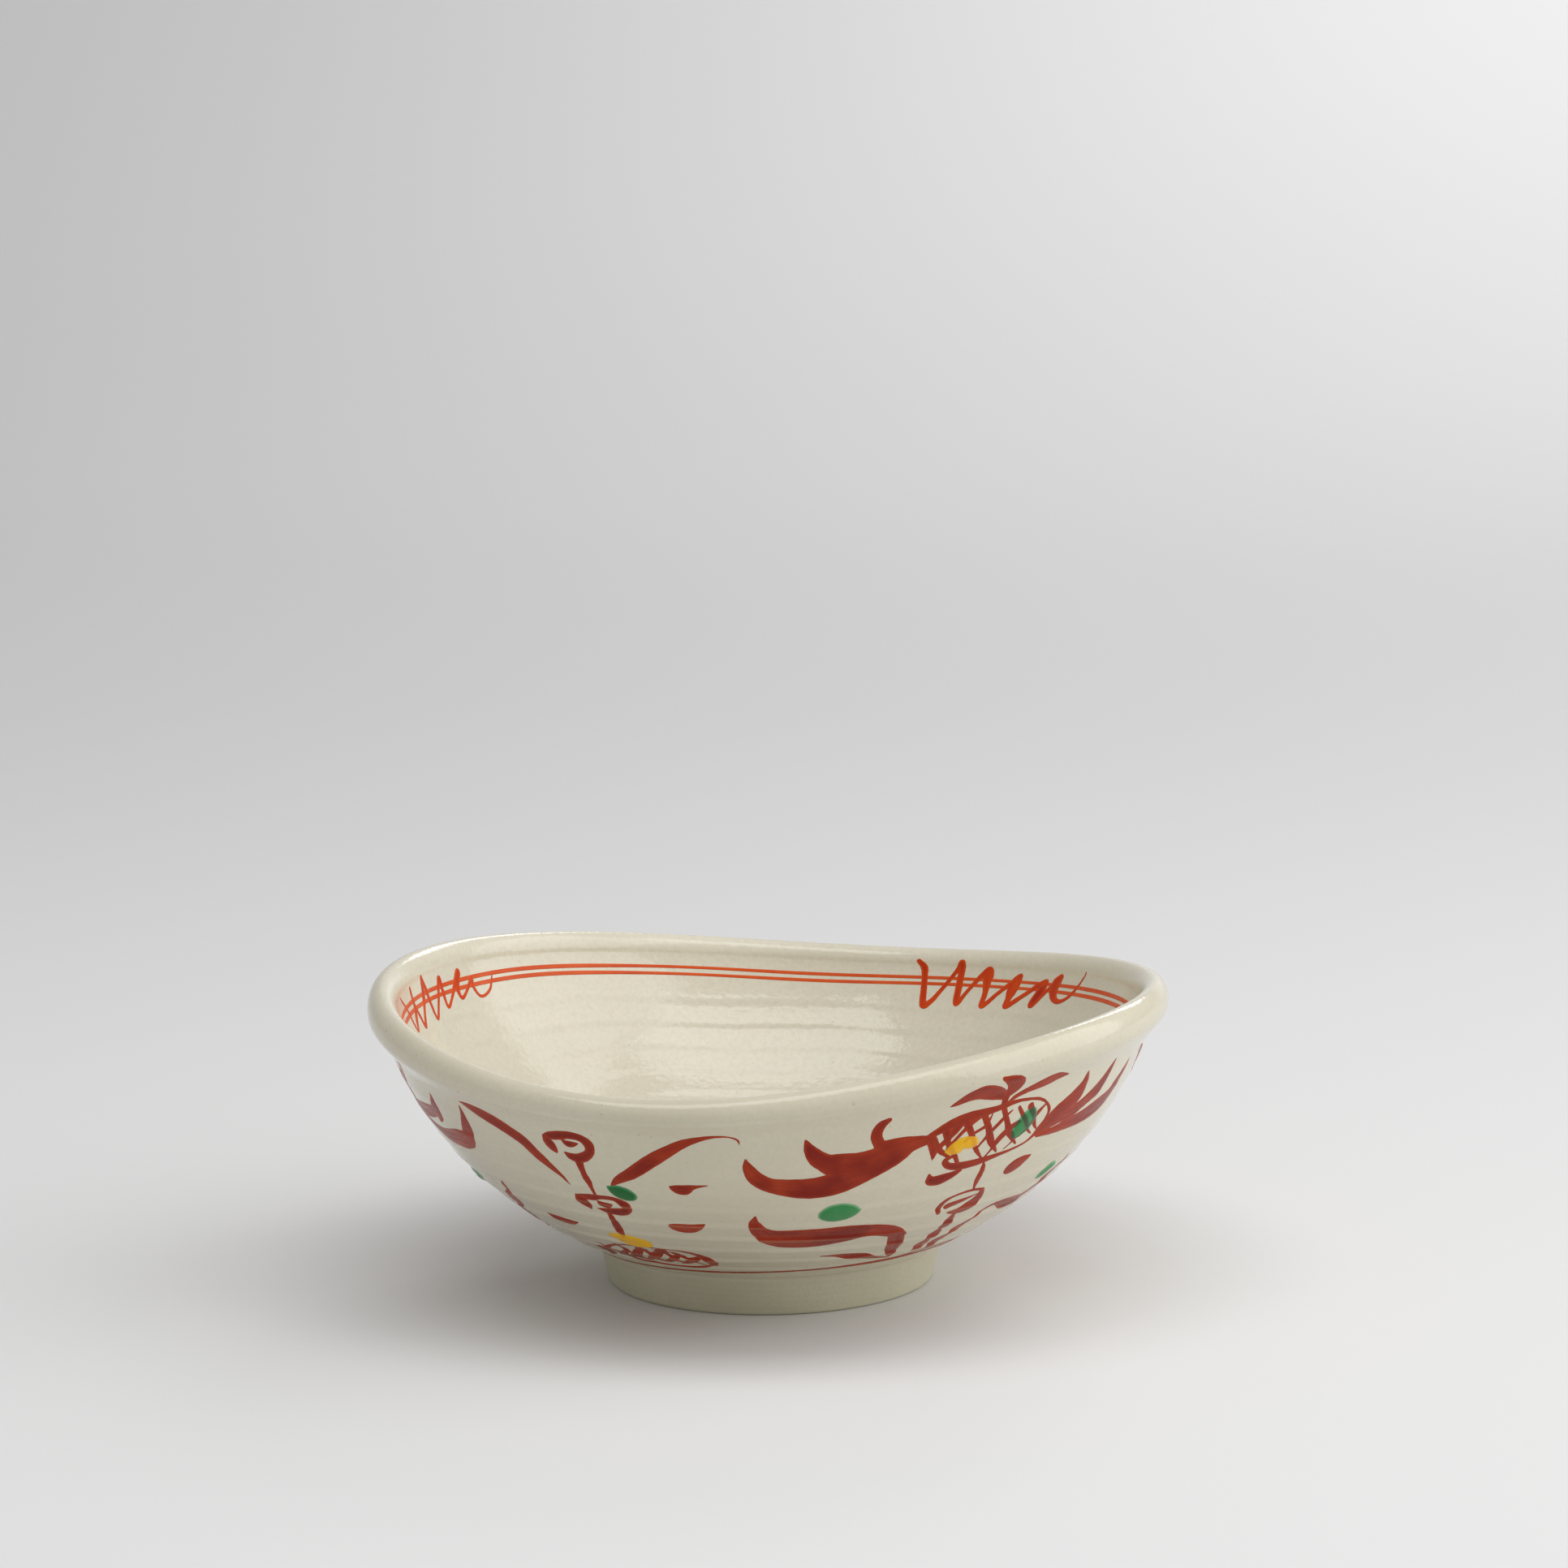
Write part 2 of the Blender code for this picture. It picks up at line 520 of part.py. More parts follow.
def paint_scene(side, turn, skip, pod_climb, red, green, yellow):
    """The strokes that every repeat of the scene has, with every skip-th bar of its nets."""
    fish = CLOUD_WAVE + FISH_OUTLINE + FISH_SCALES[::skip] + FISH_FEELERS + FISH_TAIL
    enamel(f"fish_{side}", OUTSIDE, fish, red, turn)
    enamel(f"low_wave_{side}", OUTSIDE, LOW_WAVE, red, turn)
    enamel(f"arch_leaf_{side}", OUTSIDE, ARCH_LEAF, red, turn)
    enamel(f"vine_{side}", OUTSIDE, VINE, red, turn)
    enamel(f"pod_{side}", OUTSIDE, POD_OUTLINE + POD_LATTICE[::skip], red, turn, climb=pod_climb)
    enamel(f"scroll_{side}", OUTSIDE, SCROLL, red, turn)
    enamel(f"reed_{side}", OUTSIDE, REED, red, turn)
    enamel(f"green_pebble_{side}", OUTSIDE, GREEN_PEBBLE, green, turn, layer=1)
    enamel(f"green_bud_{side}", OUTSIDE, GREEN_BUD, green, turn, layer=1)
    enamel(f"yellow_bud_{side}", OUTSIDE, YELLOW_BUD, yellow, turn, layer=1)


def paint_side_drops(green):
    drops = {"front": (0.0, 0.0), "left": LEFT_SIDE_DROP, "right": (RIGHT_TURN, 0.0)}
    for side, (turn, climb) in drops.items():
        enamel(f"green_side_drop_{side}", OUTSIDE, GREEN_SIDE_DROP, green, turn, layer=1, climb=climb)


def paint_front_only(red, green, yellow):
    """The smaller strokes, which only the front of the bowl has."""
    singles = {
        "base_leaf": BASE_LEAF,
        "fin": FIN,
        "upper_dab": UPPER_DAB,
        "lower_dab": LOWER_DAB,
        "side_dab": SIDE_DAB,
        "right_dab": RIGHT_DAB,
    }
    for name, strokes in singles.items():
        enamel(f"{name}_front", OUTSIDE, strokes, red)
    enamel("green_fish_drop_front", OUTSIDE, GREEN_FISH_DROP, green, layer=1)
    enamel("yellow_fish_drop_front", OUTSIDE, YELLOW_FISH_DROP, yellow, layer=1)


def build():
    clear_scene()
    clay_body()
    glaze_coat()
    red = glossy_material("iron_red_enamel", (0.30, 0.025, 0.016), 0.3)
    green = glossy_material("green_enamel", (0.05, 0.30, 0.12), 0.15)
    yellow = glossy_material("yellow_enamel", (0.86, 0.48, 0.02), 0.15)
    paint_lines(red)
    paint_scene("front", 0.0, 1, 0.0, red, green, yellow)
    paint_scene("left", LEFT_TURN, 2, 0.0, red, green, yellow)
    paint_scene("right", RIGHT_TURN, 2, RIGHT_POD_RAISE, red, green, yellow)
    paint_side_drops(green)
    paint_front_only(red, green, yellow)
    enamel("long_leaf_front", OUTSIDE, LONG_LEAF, red)
    enamel("long_leaf_right", OUTSIDE, RIGHT_LONG_LEAF, red, RIGHT_TURN)


build()
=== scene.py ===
"""The looks of a wheel-thrown ceramic bowl, glazed cream and painted over the glaze in iron red,
green and yellow enamel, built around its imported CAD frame.

Places on the bowl are given as on its drawing: an angle in degrees from the front (-Y), growing
towards +X, and a distance in millimetres along the wall's section. The distance climbs from the
foot's ledge on the outside, and goes down from the top of the lip on the inside.
"""

import math

import bpy
import numpy as np
from mathutils import Matrix, Vector


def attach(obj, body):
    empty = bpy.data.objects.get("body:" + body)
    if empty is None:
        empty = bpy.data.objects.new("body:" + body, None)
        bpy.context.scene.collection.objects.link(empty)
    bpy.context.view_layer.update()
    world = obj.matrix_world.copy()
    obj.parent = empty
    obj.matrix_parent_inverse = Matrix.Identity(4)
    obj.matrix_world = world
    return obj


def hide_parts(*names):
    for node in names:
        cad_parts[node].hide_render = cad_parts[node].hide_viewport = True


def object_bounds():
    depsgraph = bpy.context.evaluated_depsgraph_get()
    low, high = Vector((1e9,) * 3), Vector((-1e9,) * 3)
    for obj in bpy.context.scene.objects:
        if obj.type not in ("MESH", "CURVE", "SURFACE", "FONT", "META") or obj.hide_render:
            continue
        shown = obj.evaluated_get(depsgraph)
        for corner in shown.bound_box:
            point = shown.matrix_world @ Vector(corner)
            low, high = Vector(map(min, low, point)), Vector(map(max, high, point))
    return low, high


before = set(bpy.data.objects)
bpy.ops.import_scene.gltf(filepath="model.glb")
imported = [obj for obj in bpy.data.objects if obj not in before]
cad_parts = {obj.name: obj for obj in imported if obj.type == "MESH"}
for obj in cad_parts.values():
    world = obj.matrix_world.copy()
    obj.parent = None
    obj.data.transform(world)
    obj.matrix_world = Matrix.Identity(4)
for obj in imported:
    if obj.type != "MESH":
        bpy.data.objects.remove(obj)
CAD_LOW, CAD_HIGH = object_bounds()

# The drawing's millimetre in metres: the frame's own width decides it.
DRAWN_WIDTH = 168.767
MM = (CAD_HIGH.x - CAD_LOW.x) / DRAWN_WIDTH
TABLE_HEIGHT = CAD_LOW.z

# The thrown shape, before the soft lip was bent into its waves.
FOOT_HEIGHT = 8.8
WALL = ((37.4, FOOT_HEIGHT), (51.6, 16.2), (71.5, 28.3), (80.6, 52.8))
LIP_CENTRE = (81.0, 56.8)
LIP_HALF = (3.1, 4.0)
LIP_START_DEGREES = -60.0
INSIDE = ((77.9, 56.8), (75.0, 45.0), (56.0, 19.0), (30.0, 12.2))
FLOOR_CENTRE = (0.0, 11.6)
LIP_HEIGHT_WAVES = ((2, 4.1, 72.0), (1, 0.54, -37.0), (3, 0.27, 30.0), (4, 0.25, 27.5))
LIP_RADIUS_WAVES = ((2, 0.48, 109.5), (3, 0.52, 68.7))
GLAZE_THICKNESS = 0.5
CURVE_STEPS = 400
TINY = 1e-9

# The throwing rings that the potter's fingers left: pitch, height low on the wall and high on
# it, and the distances between which one gives way to the other.
OUTER_RINGS = (6.1, 0.15, 0.06, 22.0, 42.0)
INNER_RINGS = (6.3, 0.06, 0.085, 30.0, 60.0)
# A ring's profile as harmonics (count, size, lag), how far its place and its strength wander,
# and how fast the rings fade in above the foot and out under the lip.
RING_HARMONICS = ((1, 1.0, 0.0), (2, 0.42, 1.2), (3, 0.18, 2.6))
RING_DRIFT = 1.1
RING_STRENGTH = 0.75
RING_FADE_IN = 4.0
RING_FADE_OUT = 6.0
OUTER_RINGS_FROM = 5.0
INNER_RINGS_SPAN = (12.0, 96.0)
# The lip's fine mesh starts this far below the crease under it. The crease is rounded to either
# side of its middle, but the lip keeps its round: the rounding ends LIP_KEPT above the crease and
# gives way over LIP_BLEND.
LIP_MARGIN = 3.0
CREASE_MIDDLE = 1.0
CREASE_REACH = 5.6
LIP_KEPT = 4.6
LIP_BLEND = 3.4
SOFTEN_STEP = 0.1
# The glaze ran over the foot's edge down to about this height.
GLAZE_EDGE = 7.7

# The turned surfaces: steps around, and steps along the section where it shows and where not.
TURNS = 420
ANGLES = np.arange(TURNS) * 360.0 / TURNS
ROW_STEP = 0.5
LIP_STEP = 0.32
HIDDEN_STEP = 4.0
HIDDEN_LIP_STEP = 1.2
LIP_INSIDE = 7.0
CENTRE_MARGIN = 0.5
CLAY_CLEARANCE = 0.01
FOOT_STEP = 0.45
TURNING_MARK = 0.03

# Enamel, in millimetres: the grid that it is drawn on, how far it sinks into the glaze and stands
# proud of it, how its edge lifts, rounds over and wobbles, and how brush paths are cut up.
PAINT_GRID = 0.17
GRID_MARGIN = 1.0
STROKE_MARGIN = 0.6
PAINT_SINK = 0.05
RED_RISE = 0.05
DROP_RISE = 0.42
EDGE_LIFT = 0.012
EDGE_ROUND = 0.22
EDGE_WOBBLE = 0.05
DROP_DOME = 4.0
STROKE_STEP = 0.12
LEAST_WIDTH = 0.12
# About how many millimetres a degree spans where the bowl is painted.
DEGREE_SPAN = 1.3
STROKE_SPACING = 37.0
UNDER_SOFTNESS = 0.25
ZIGZAG_LAYER = 0.03

LEFT_TURN = -122.0
RIGHT_TURN = 121.0
RIGHT_POD_RAISE = 5.0
# How differently the hand drew the scene when repeating it.
REPEAT_CHANGE = 0.8
# The left side drop was set further round and lower than its neighbours: its turn and climb.
LEFT_SIDE_DROP = (-131.0, -3.0)


# ---------------------------------------------------------------- the wall's section


def bezier(corners):
    t = np.linspace(0.0, 1.0, CURVE_STEPS)[:, None]
    a, b, c, d = (np.array(corner) for corner in corners)
    return (1 - t) ** 3 * a + 3 * (1 - t) ** 2 * t * b + 3 * (1 - t) * t**2 * c + t**3 * d


def lip_arc(start, end):
    angle = np.radians(np.linspace(start, end, CURVE_STEPS))
    return np.stack([LIP_CENTRE[0] + LIP_HALF[0] * np.cos(angle),
                     LIP_CENTRE[1] + LIP_HALF[1] * np.sin(angle)], 1)


def wave_sum(waves, degrees):
    return sum(size * np.cos(np.radians(count * (degrees - crest)))
               for count, size, crest in waves)


def bent(degrees, radius, height):
    """Places in metres on the bent bowl: numpy arrays in, an array of (x, y, z) out."""
    rise = np.clip((height - FOOT_HEIGHT) / (LIP_CENTRE[1] - FOOT_HEIGHT), 0.0, None)
    share = rise * rise
    sway = share * wave_sum(LIP_RADIUS_WAVES, degrees)
    radius = radius + sway * np.minimum(radius / LIP_CENTRE[0], 1.0)
    height = height + share * wave_sum(LIP_HEIGHT_WAVES, degrees)
    angle = np.radians(degrees)
    return np.stack([radius * np.sin(angle) * MM, -radius * np.cos(angle) * MM,
                     height * MM + TABLE_HEIGHT], -1)


def soft_noise(x, y, seed):
    """A smooth, repeatable unevenness between about -1 and 1 that closes around the bowl."""
    total = 0.0
    for k in range(5):
        around = 1 + (seed * 7 + k * 5) % 11
        along = 0.05 + 0.043 * ((seed * 3 + k * 4) % 7)
        total = total + np.cos(np.radians(around * x) + along * y + 1.7 * k + seed)
    return total / 5.0


class Side:
    """One side of the wall, charted by distance along its section."""

    def __init__(self, points, wall_end, rings):
        self.points = points
        self.rings = rings
        steps = np.hypot(*np.diff(points, axis=0).T)
        self.marks = np.concatenate([[0.0], np.cumsum(steps)])
        self.length = self.marks[-1]
        tangent = np.gradient(points, axis=0)
        tangent /= np.hypot(*tangent.T)[:, None] + TINY
        self.normal = np.stack([tangent[:, 1], -tangent[:, 0]], 1)
        self.wall_end = wall_end

    def radius(self, distance):
        return np.interp(distance, self.marks, self.points[:, 0])

    def relief(self, degrees, distance):
        """Throwing rings as one long uneven spiral, fading out at the lip and near the ends."""
        pitch, low_height, high_height, low, high = self.rings
        drift = RING_DRIFT * soft_noise(degrees, 0.25 * distance, 2) + pitch * degrees / 360.0
        turn = 2 * math.pi * (distance + drift) / pitch
        ridge = sum(size * np.cos(count * turn - lag) for count, size, lag in RING_HARMONICS)
        start, end = self.wall_end
        fade = np.clip((distance - start) / RING_FADE_IN, 0, 1)
        fade = fade * np.clip((end - distance) / RING_FADE_OUT, 0, 1)
        strength = RING_STRENGTH + RING_STRENGTH * soft_noise(degrees, distance, 5)
        height = np.interp(distance, (low, high), (low_height, high_height))
        return height * fade * strength * ridge

    def place(self, degrees, distance, lift=0.0):
        height = np.interp(distance, self.marks, self.points[:, 1])
        out = self.relief(degrees, distance) + lift
        radius = self.radius(distance) + np.interp(distance, self.marks, self.normal[:, 0]) * out
        height = height + np.interp(distance, self.marks, self.normal[:, 1]) * out
        return bent(degrees, np.maximum(radius, 0.0), height)


def softened(points, middle, reach):
    """Rounds a section around a mark along it, as a wet sponge rounds the crease under a lip."""
    marks = np.concatenate([[0.0], np.cumsum(np.hypot(*np.diff(points, axis=0).T))])
    even = np.append(np.arange(0.0, marks[-1], SOFTEN_STEP), marks[-1])
    fine = np.stack([np.interp(even, marks, points[:, k]) for k in (0, 1)], 1)
    count = int(reach / SOFTEN_STEP)
    weights = 1.0 + np.cos(math.pi * np.arange(-count, count + 1) / (count + 1))
    weights /= weights.sum()
    smooth = np.stack([np.convolve(np.pad(fine[:, k], count, mode="edge"), weights, mode="valid")
                       for k in (0, 1)], 1)
    below = np.clip(3.0 + (even - middle) / reach, 0.0, 1.0)
    above = np.clip((middle + LIP_KEPT - even) / LIP_BLEND, 0.0, 1.0)
    share = (below * above)[:, None]
    share = share * share * (3.0 - 2.0 * share)
    return fine * (1.0 - share) + smooth * share


def outside_side():
    wall = bezier(WALL)
    points = np.vstack([wall, lip_arc(LIP_START_DEGREES, 90.0)])
    length = np.hypot(*np.diff(wall, axis=0).T).sum()
    points = softened(points, length + CREASE_MIDDLE, CREASE_REACH)
    return Side(points, (OUTER_RINGS_FROM, length - LIP_MARGIN), OUTER_RINGS)


def inside_side():
    lip = lip_arc(90.0, 180.0)
    wall = bezier(INSIDE)[1:]
    points = np.vstack([lip, wall, np.array([FLOOR_CENTRE])])
    return Side(points, INNER_RINGS_SPAN, INNER_RINGS)


OUTER = outside_side()
INNER = inside_side()
LIP_FROM = OUTER.wall_end[1]


# ---------------------------------------------------------------- turned surfaces


def mesh_object(name, vertices, faces, material):
    mesh = bpy.data.meshes.new(name)
    mesh.from_pydata(vertices, [], faces)
    mesh.shade_smooth()
    mesh.materials.append(material)
    item = bpy.data.objects.new(name, mesh)
    bpy.context.scene.collection.objects.link(item)
    return item


def add_piece(name, vertices, faces, paint, node):
    """A mesh object that rides on the one body and stands for its CAD node. Its paint is a
    material and the name of its slot; the slot's name is not used."""
    material, slot = paint
    piece = mesh_object(name, vertices, faces, material)
    piece.name = "painted_" + name if name == node else name
    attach(piece, "root")
    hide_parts(node)
    return piece


def store(piece, name, values):
    """Keeps one number for each vertex where the material can read it."""
    attribute = piece.data.attributes.new(name, "FLOAT", "POINT")
    attribute.data.foreach_set("value", np.asarray(values, np.float32))


def turned_mesh(rows):
    """Joins rows from axis to axis. A row is one point on the axis or a ring of TURNS points."""
    faces = []
    first = 0
    for row, following in zip(rows, rows[1:]):
        size, count = len(row), len(following)
        for i in range(TURNS):
            j = (i + 1) % TURNS
            corners = (first + i % size, first + j % size,
                       first + size + j % count, first + size + i % count)
            faces.append(tuple(dict.fromkeys(corners)))
        first += size
    return np.vstack(rows).tolist(), faces


def glazed_rows(lift, wall_step, lip_step):
    """Rows over the whole glazed surface, from the foot's ledge over the lip to the floor's
    centre, and for each of their points 0 on the outside and 1 on the inside."""
    outside = [*np.arange(0.0, LIP_FROM, wall_step), *np.arange(LIP_FROM, OUTER.length, lip_step)]
    inside = [*np.arange(0.0, LIP_INSIDE, lip_step),
              *np.arange(LIP_INSIDE, INNER.length - CENTRE_MARGIN, wall_step)]
    rows = [OUTER.place(ANGLES, np.full(TURNS, distance), lift) for distance in outside]
    rows += [INNER.place(ANGLES, np.full(TURNS, distance), lift) for distance in inside]
    rows.append(INNER.place(np.array([0.0]), np.array([INNER.length]), lift))
    return rows, [0.0] * (len(outside) * TURNS) + [1.0] * (len(inside) * TURNS + 1)


def make_glaze(paint):
    shown, shown_inside = glazed_rows(0.0, ROW_STEP, LIP_STEP)
    hidden, hidden_inside = glazed_rows(-GLAZE_THICKNESS, HIDDEN_STEP, HIDDEN_LIP_STEP)
    vertices, faces = turned_mesh(shown[::-1] + hidden)
    faces = [face[::-1] for face in faces]
    piece = add_piece("bowl_glaze", vertices, faces, paint, "glaze_coat")
    store(piece, "inside", shown_inside[::-1] + hidden_inside)


# The turned foot: radius and height, from the axis out to where the glaze begins.
FOOT_OUTLINE = (
    (0.0, 5.0), (10.0, 5.05), (20.0, 5.2), (25.5, 5.2), (27.6, 4.9), (28.9, 4.0), (29.6, 2.4),
    (30.2, 0.9), (30.45, 0.35), (30.9, 0.05), (31.4, 0.0), (33.4, 0.0), (34.0, 0.05), (34.45, 0.3),
    (34.65, 0.9), (34.9, 2.0), (35.35, 4.0), (35.85, 6.2), (36.2, 7.6), (36.55, 8.3),
    (37.25, 8.75),
)


def foot_points():
    """The foot's outline with its straight stretches cut finely enough to carry turning marks."""
    points = [FOOT_OUTLINE[0]]
    for (r0, z0), (r1, z1) in zip(FOOT_OUTLINE, FOOT_OUTLINE[1:]):
        steps = max(1, math.ceil(math.hypot(r1 - r0, z1 - z0) / FOOT_STEP))
        for i in range(1, steps + 1):
            points.append((r0 + (r1 - r0) * i / steps, z0 + (z1 - z0) * i / steps))
    return points


def make_clay(paint):
    rows = []
    for radius, height in foot_points():
        if radius == 0.0:
            rows.append(bent(np.array([0.0]), np.array([0.0]), np.array([height])))
            continue
        mark = TURNING_MARK * np.cos(radius * 2.1 + height * 4.3 + np.radians(ANGLES))
        rows.append(bent(ANGLES, radius + mark * min(height / 2.0, 1.0), np.full(TURNS, height)))
    rows += glazed_rows(-GLAZE_THICKNESS - CLAY_CLEARANCE, HIDDEN_STEP, HIDDEN_LIP_STEP)[0]
    vertices, faces = turned_mesh(rows)
    add_piece("bowl_clay", vertices, faces, paint, "clay_body")


# ---------------------------------------------------------------- enamel


def smooth_path(points):
    """A brush path through its points: Catmull-Rom, resampled evenly enough for a round brush."""
    points = np.array(points, float)
    if len(points) == 2:
        points = np.array([points[0], (points[0] + points[1]) / 2, points[1]])
    ends = np.vstack([2 * points[0] - points[1], points, 2 * points[-1] - points[-2]])
    pieces = []
    for i in range(1, len(ends) - 2):
        p0, p1, p2, p3 = ends[i - 1:i + 3]
        length = math.hypot((p2[0] - p1[0]) * DEGREE_SPAN, p2[1] - p1[1])
        count = max(3, math.ceil(length / STROKE_STEP))
        t = np.linspace(0.0, 1.0, count, endpoint=False)[:, None]
        pieces.append(0.5 * (2 * p1 + (p2 - p0) * t + (2 * p0 - 5 * p1 + 4 * p2 - p3) * t**2
                             + (3 * p1 - p0 - 3 * p2 + p3) * t**3))
    pieces.append(points[-1:])
    path = np.vstack(pieces)
    path[:, 2] = np.clip(path[:, 2], LEAST_WIDTH, None)
    return path


class Deposit:
    """The union of brush strokes on one side of the wall, as a field over a fine grid."""

    def __init__(self, side, strokes, grid=None):
        self.side = side
        paths = [smooth_path(points) for points in strokes]
        self.degrees, self.distance = grid or self.grid_around(np.vstack(paths))
        shape = (len(self.degrees), len(self.distance))
        self.inside = np.full(shape, -1.0)
        self.along = np.zeros(shape)
        self.across = np.zeros(shape)
        self.width = np.ones(shape)
        for index, path in enumerate(paths):
            self.lay(path, index)

    def grid_around(self, every):
        scale = math.radians(1.0) * self.side.radius(np.median(every[:, 1]))
        low, high = every.min(0), every.max(0)
        reach = high[2] / 2 + GRID_MARGIN
        return (np.arange(low[0] - reach / scale, high[0] + reach / scale, PAINT_GRID / scale),
                np.arange(low[1] - reach, high[1] + reach, PAINT_GRID))

    def lay(self, path, index):
        """Adds one stroke: how deep inside it each grid point is, and where along the brush."""
        per_degree = math.radians(1.0) * self.side.radius(self.distance)
        low, high = path.min(0), path.max(0)
        reach = high[2] / 2 + STROKE_MARGIN
        turn = reach / per_degree.min()
        columns = np.flatnonzero((self.degrees > low[0] - turn) & (self.degrees < high[0] + turn))
        rows = np.flatnonzero((self.distance > low[1] - reach) & (self.distance < high[1] + reach))
        step = np.hypot(np.diff(path[:, 0]) * DEGREE_SPAN, np.diff(path[:, 1]))
        travelled = np.concatenate([[0.0], np.cumsum(step)])
        tangent = np.gradient(path[:, :2], axis=0)
        for row in rows:
            dx = (self.degrees[columns, None] - path[None, :, 0]) * per_degree[row]
            dy = self.distance[row] - path[None, :, 1]
            depth = path[None, :, 2] / 2 - np.sqrt(dx * dx + dy * dy)
            best = depth.argmax(1)
            pick = np.arange(len(columns))
            value = depth[pick, best]
            better = value > self.inside[columns, row]
            chosen = columns[better]
            best = best[better]
            self.inside[chosen, row] = value[better]
            self.along[chosen, row] = travelled[best] + STROKE_SPACING * index
            tx, ty = tangent[best, 0] * per_degree[row], tangent[best, 1]
            norm = np.hypot(tx, ty) + TINY
            self.across[chosen, row] = (dx[pick[better], best] * ty - dy[0, best] * tx) / norm
            self.width[chosen, row] = path[best, 2]

    def roughen(self, amount):
        """Makes the edge of the brushwork a little uneven."""
        x = self.degrees[:, None] * math.radians(1.0) * self.side.radius(self.distance)[None, :]
        y = self.distance[None, :]
        wobble = (np.sin(2.3 * x + 1.1 * y) + np.sin(4.1 * y - 1.7 * x + 1.0)
                  + 0.7 * np.sin(7.9 * x + 5.3 * y) + 0.5 * np.sin(11.3 * y - 9.7 * x))
        self.inside = self.inside + amount * wobble / 3.2


# A cell's corners and the points where the deposit's edge crosses its sides, in order around it.
CELL_RING = ("a", "ab", "b", "bc", "c", "cd", "d", "da")
CORNER_WEIGHTS = (("a", 1), ("b", 2), ("c", 4), ("d", 8))
# How near a cell's corner a crossing may come, as shares of the cell's side.
CROSSING_SHARES = (0.02, 0.98)


def cell_polygons(inside):
    """Marching squares: polygons of vertex numbers over the grid points where inside > 0.

    Grid points are numbered first, then the crossings of sides along the first index, then
    those along the second."""
    nx, ny = inside.shape
    count = nx * ny
    i, j = np.meshgrid(np.arange(nx - 1), np.arange(ny - 1), indexing="ij")
    corner = i * ny + j
    numbers = {
        "a": corner, "b": corner + ny, "c": corner + ny + 1, "d": corner + 1,
        "ab": count + corner, "cd": count + corner + 1,
        "da": 2 * count + corner, "bc": 2 * count + corner + ny,
    }
    solid = inside > 0
    flags = {"a": solid[:-1, :-1], "b": solid[1:, :-1], "c": solid[1:, 1:], "d": solid[:-1, 1:]}
    case = sum(flags[name] * weight for name, weight in CORNER_WEIGHTS)
    polygons = []
    for number in range(1, 16):
        on = {name: bool(number & weight) for name, weight in CORNER_WEIGHTS}
        ring = [name for name in CELL_RING
                if (on[name] if len(name) == 1 else on[name[0]] != on[name[1]])]
        polygons.append(np.stack([numbers[name][case == number] for name in ring], 1))
    return polygons


def edge_crossings(deposit):
    """Degrees and distance of every numbered point of cell_polygons."""
    f = deposit.inside
    x = np.repeat(deposit.degrees[:, None], f.shape[1], 1)
    y = np.repeat(deposit.distance[None, :], f.shape[0], 0)
    places = [(x, y)]
    for right, up in ((1, 0), (0, 1)):
        g = np.roll(f, (-right, -up), (0, 1))
        share = np.clip(f / np.where(np.abs(f - g) < TINY, TINY, f - g), *CROSSING_SHARES)
        places.append((x + share * (np.roll(x, -right, 0) - x),
                       y + share * (np.roll(y, -up, 1) - y)))
    return np.stack(places, 1).reshape(2, -1)


def make_enamel(name, side, strokes, paint, rise=RED_RISE, layer=0.0, under=None, dome=1.0,
                node=None):
    """A deposit of enamel as a thin closed lens on the glaze, with its thickness and brush
    direction stored for the material."""
    deposit = Deposit(side, strokes)
    deposit.roughen(EDGE_WOBBLE)
    count = deposit.inside.size
    polygons = cell_polygons(deposit.inside)
    x, y = edge_crossings(deposit)
    used = np.unique(np.concatenate([p.ravel() for p in polygons]))
    top = np.full(3 * count, -1)
    top[used] = np.arange(len(used))
    inner = used[used < count]
    bottom = top.copy()
    bottom[inner] = len(used) + np.arange(len(inner))
    depth = np.concatenate([np.clip(deposit.inside.ravel(), 0.0, None), np.zeros(2 * count)])
    height = EDGE_LIFT + rise * (1.0 - np.exp(-depth / (EDGE_ROUND * dome)))
    high = side.place(x[used], y[used], height[used] + layer)
    low = side.place(x[inner], y[inner], layer - PAINT_SINK)
    faces = []
    for group in polygons:
        faces += top[group].tolist()
        faces += bottom[group][:, ::-1].tolist()
    vertices = np.vstack([high, low])
    piece = add_piece(name, vertices.tolist(), faces, paint, node or name)
    order = np.concatenate([used, inner])
    grids = {"along": deposit.along, "across": deposit.across, "width": deposit.width}
    if under is not None:
        covered = Deposit(side, under, (deposit.degrees, deposit.distance)).inside
        grids["under"] = np.clip(covered / UNDER_SOFTNESS + 0.5, 0.0, 1.0)
    for key, grid in grids.items():
        store(piece, key, np.tile(grid.ravel(), 3)[order])
    store(piece, "depth", depth[order])
    store(piece, "ridge", side.relief(x[order], y[order]))


def make_drop(name, strokes, paint, under=None):
    make_enamel(name, OUTER, strokes, paint, DROP_RISE, dome=DROP_DOME, under=under)


RING_TURNS = 1080
RING_DEGREES = np.arange(RING_TURNS) * 360.0 / RING_TURNS
# A line's section: share of its half width across, and share of its rise.
LINE_SECTION = (
    (-1.0, 0.0), (-0.8, 0.75), (-0.4, 1.0), (0.0, 0.95), (0.4, 1.0), (0.8, 0.75), (1.0, 0.0),
    (0.5, -1.0), (-0.5, -1.0),
)


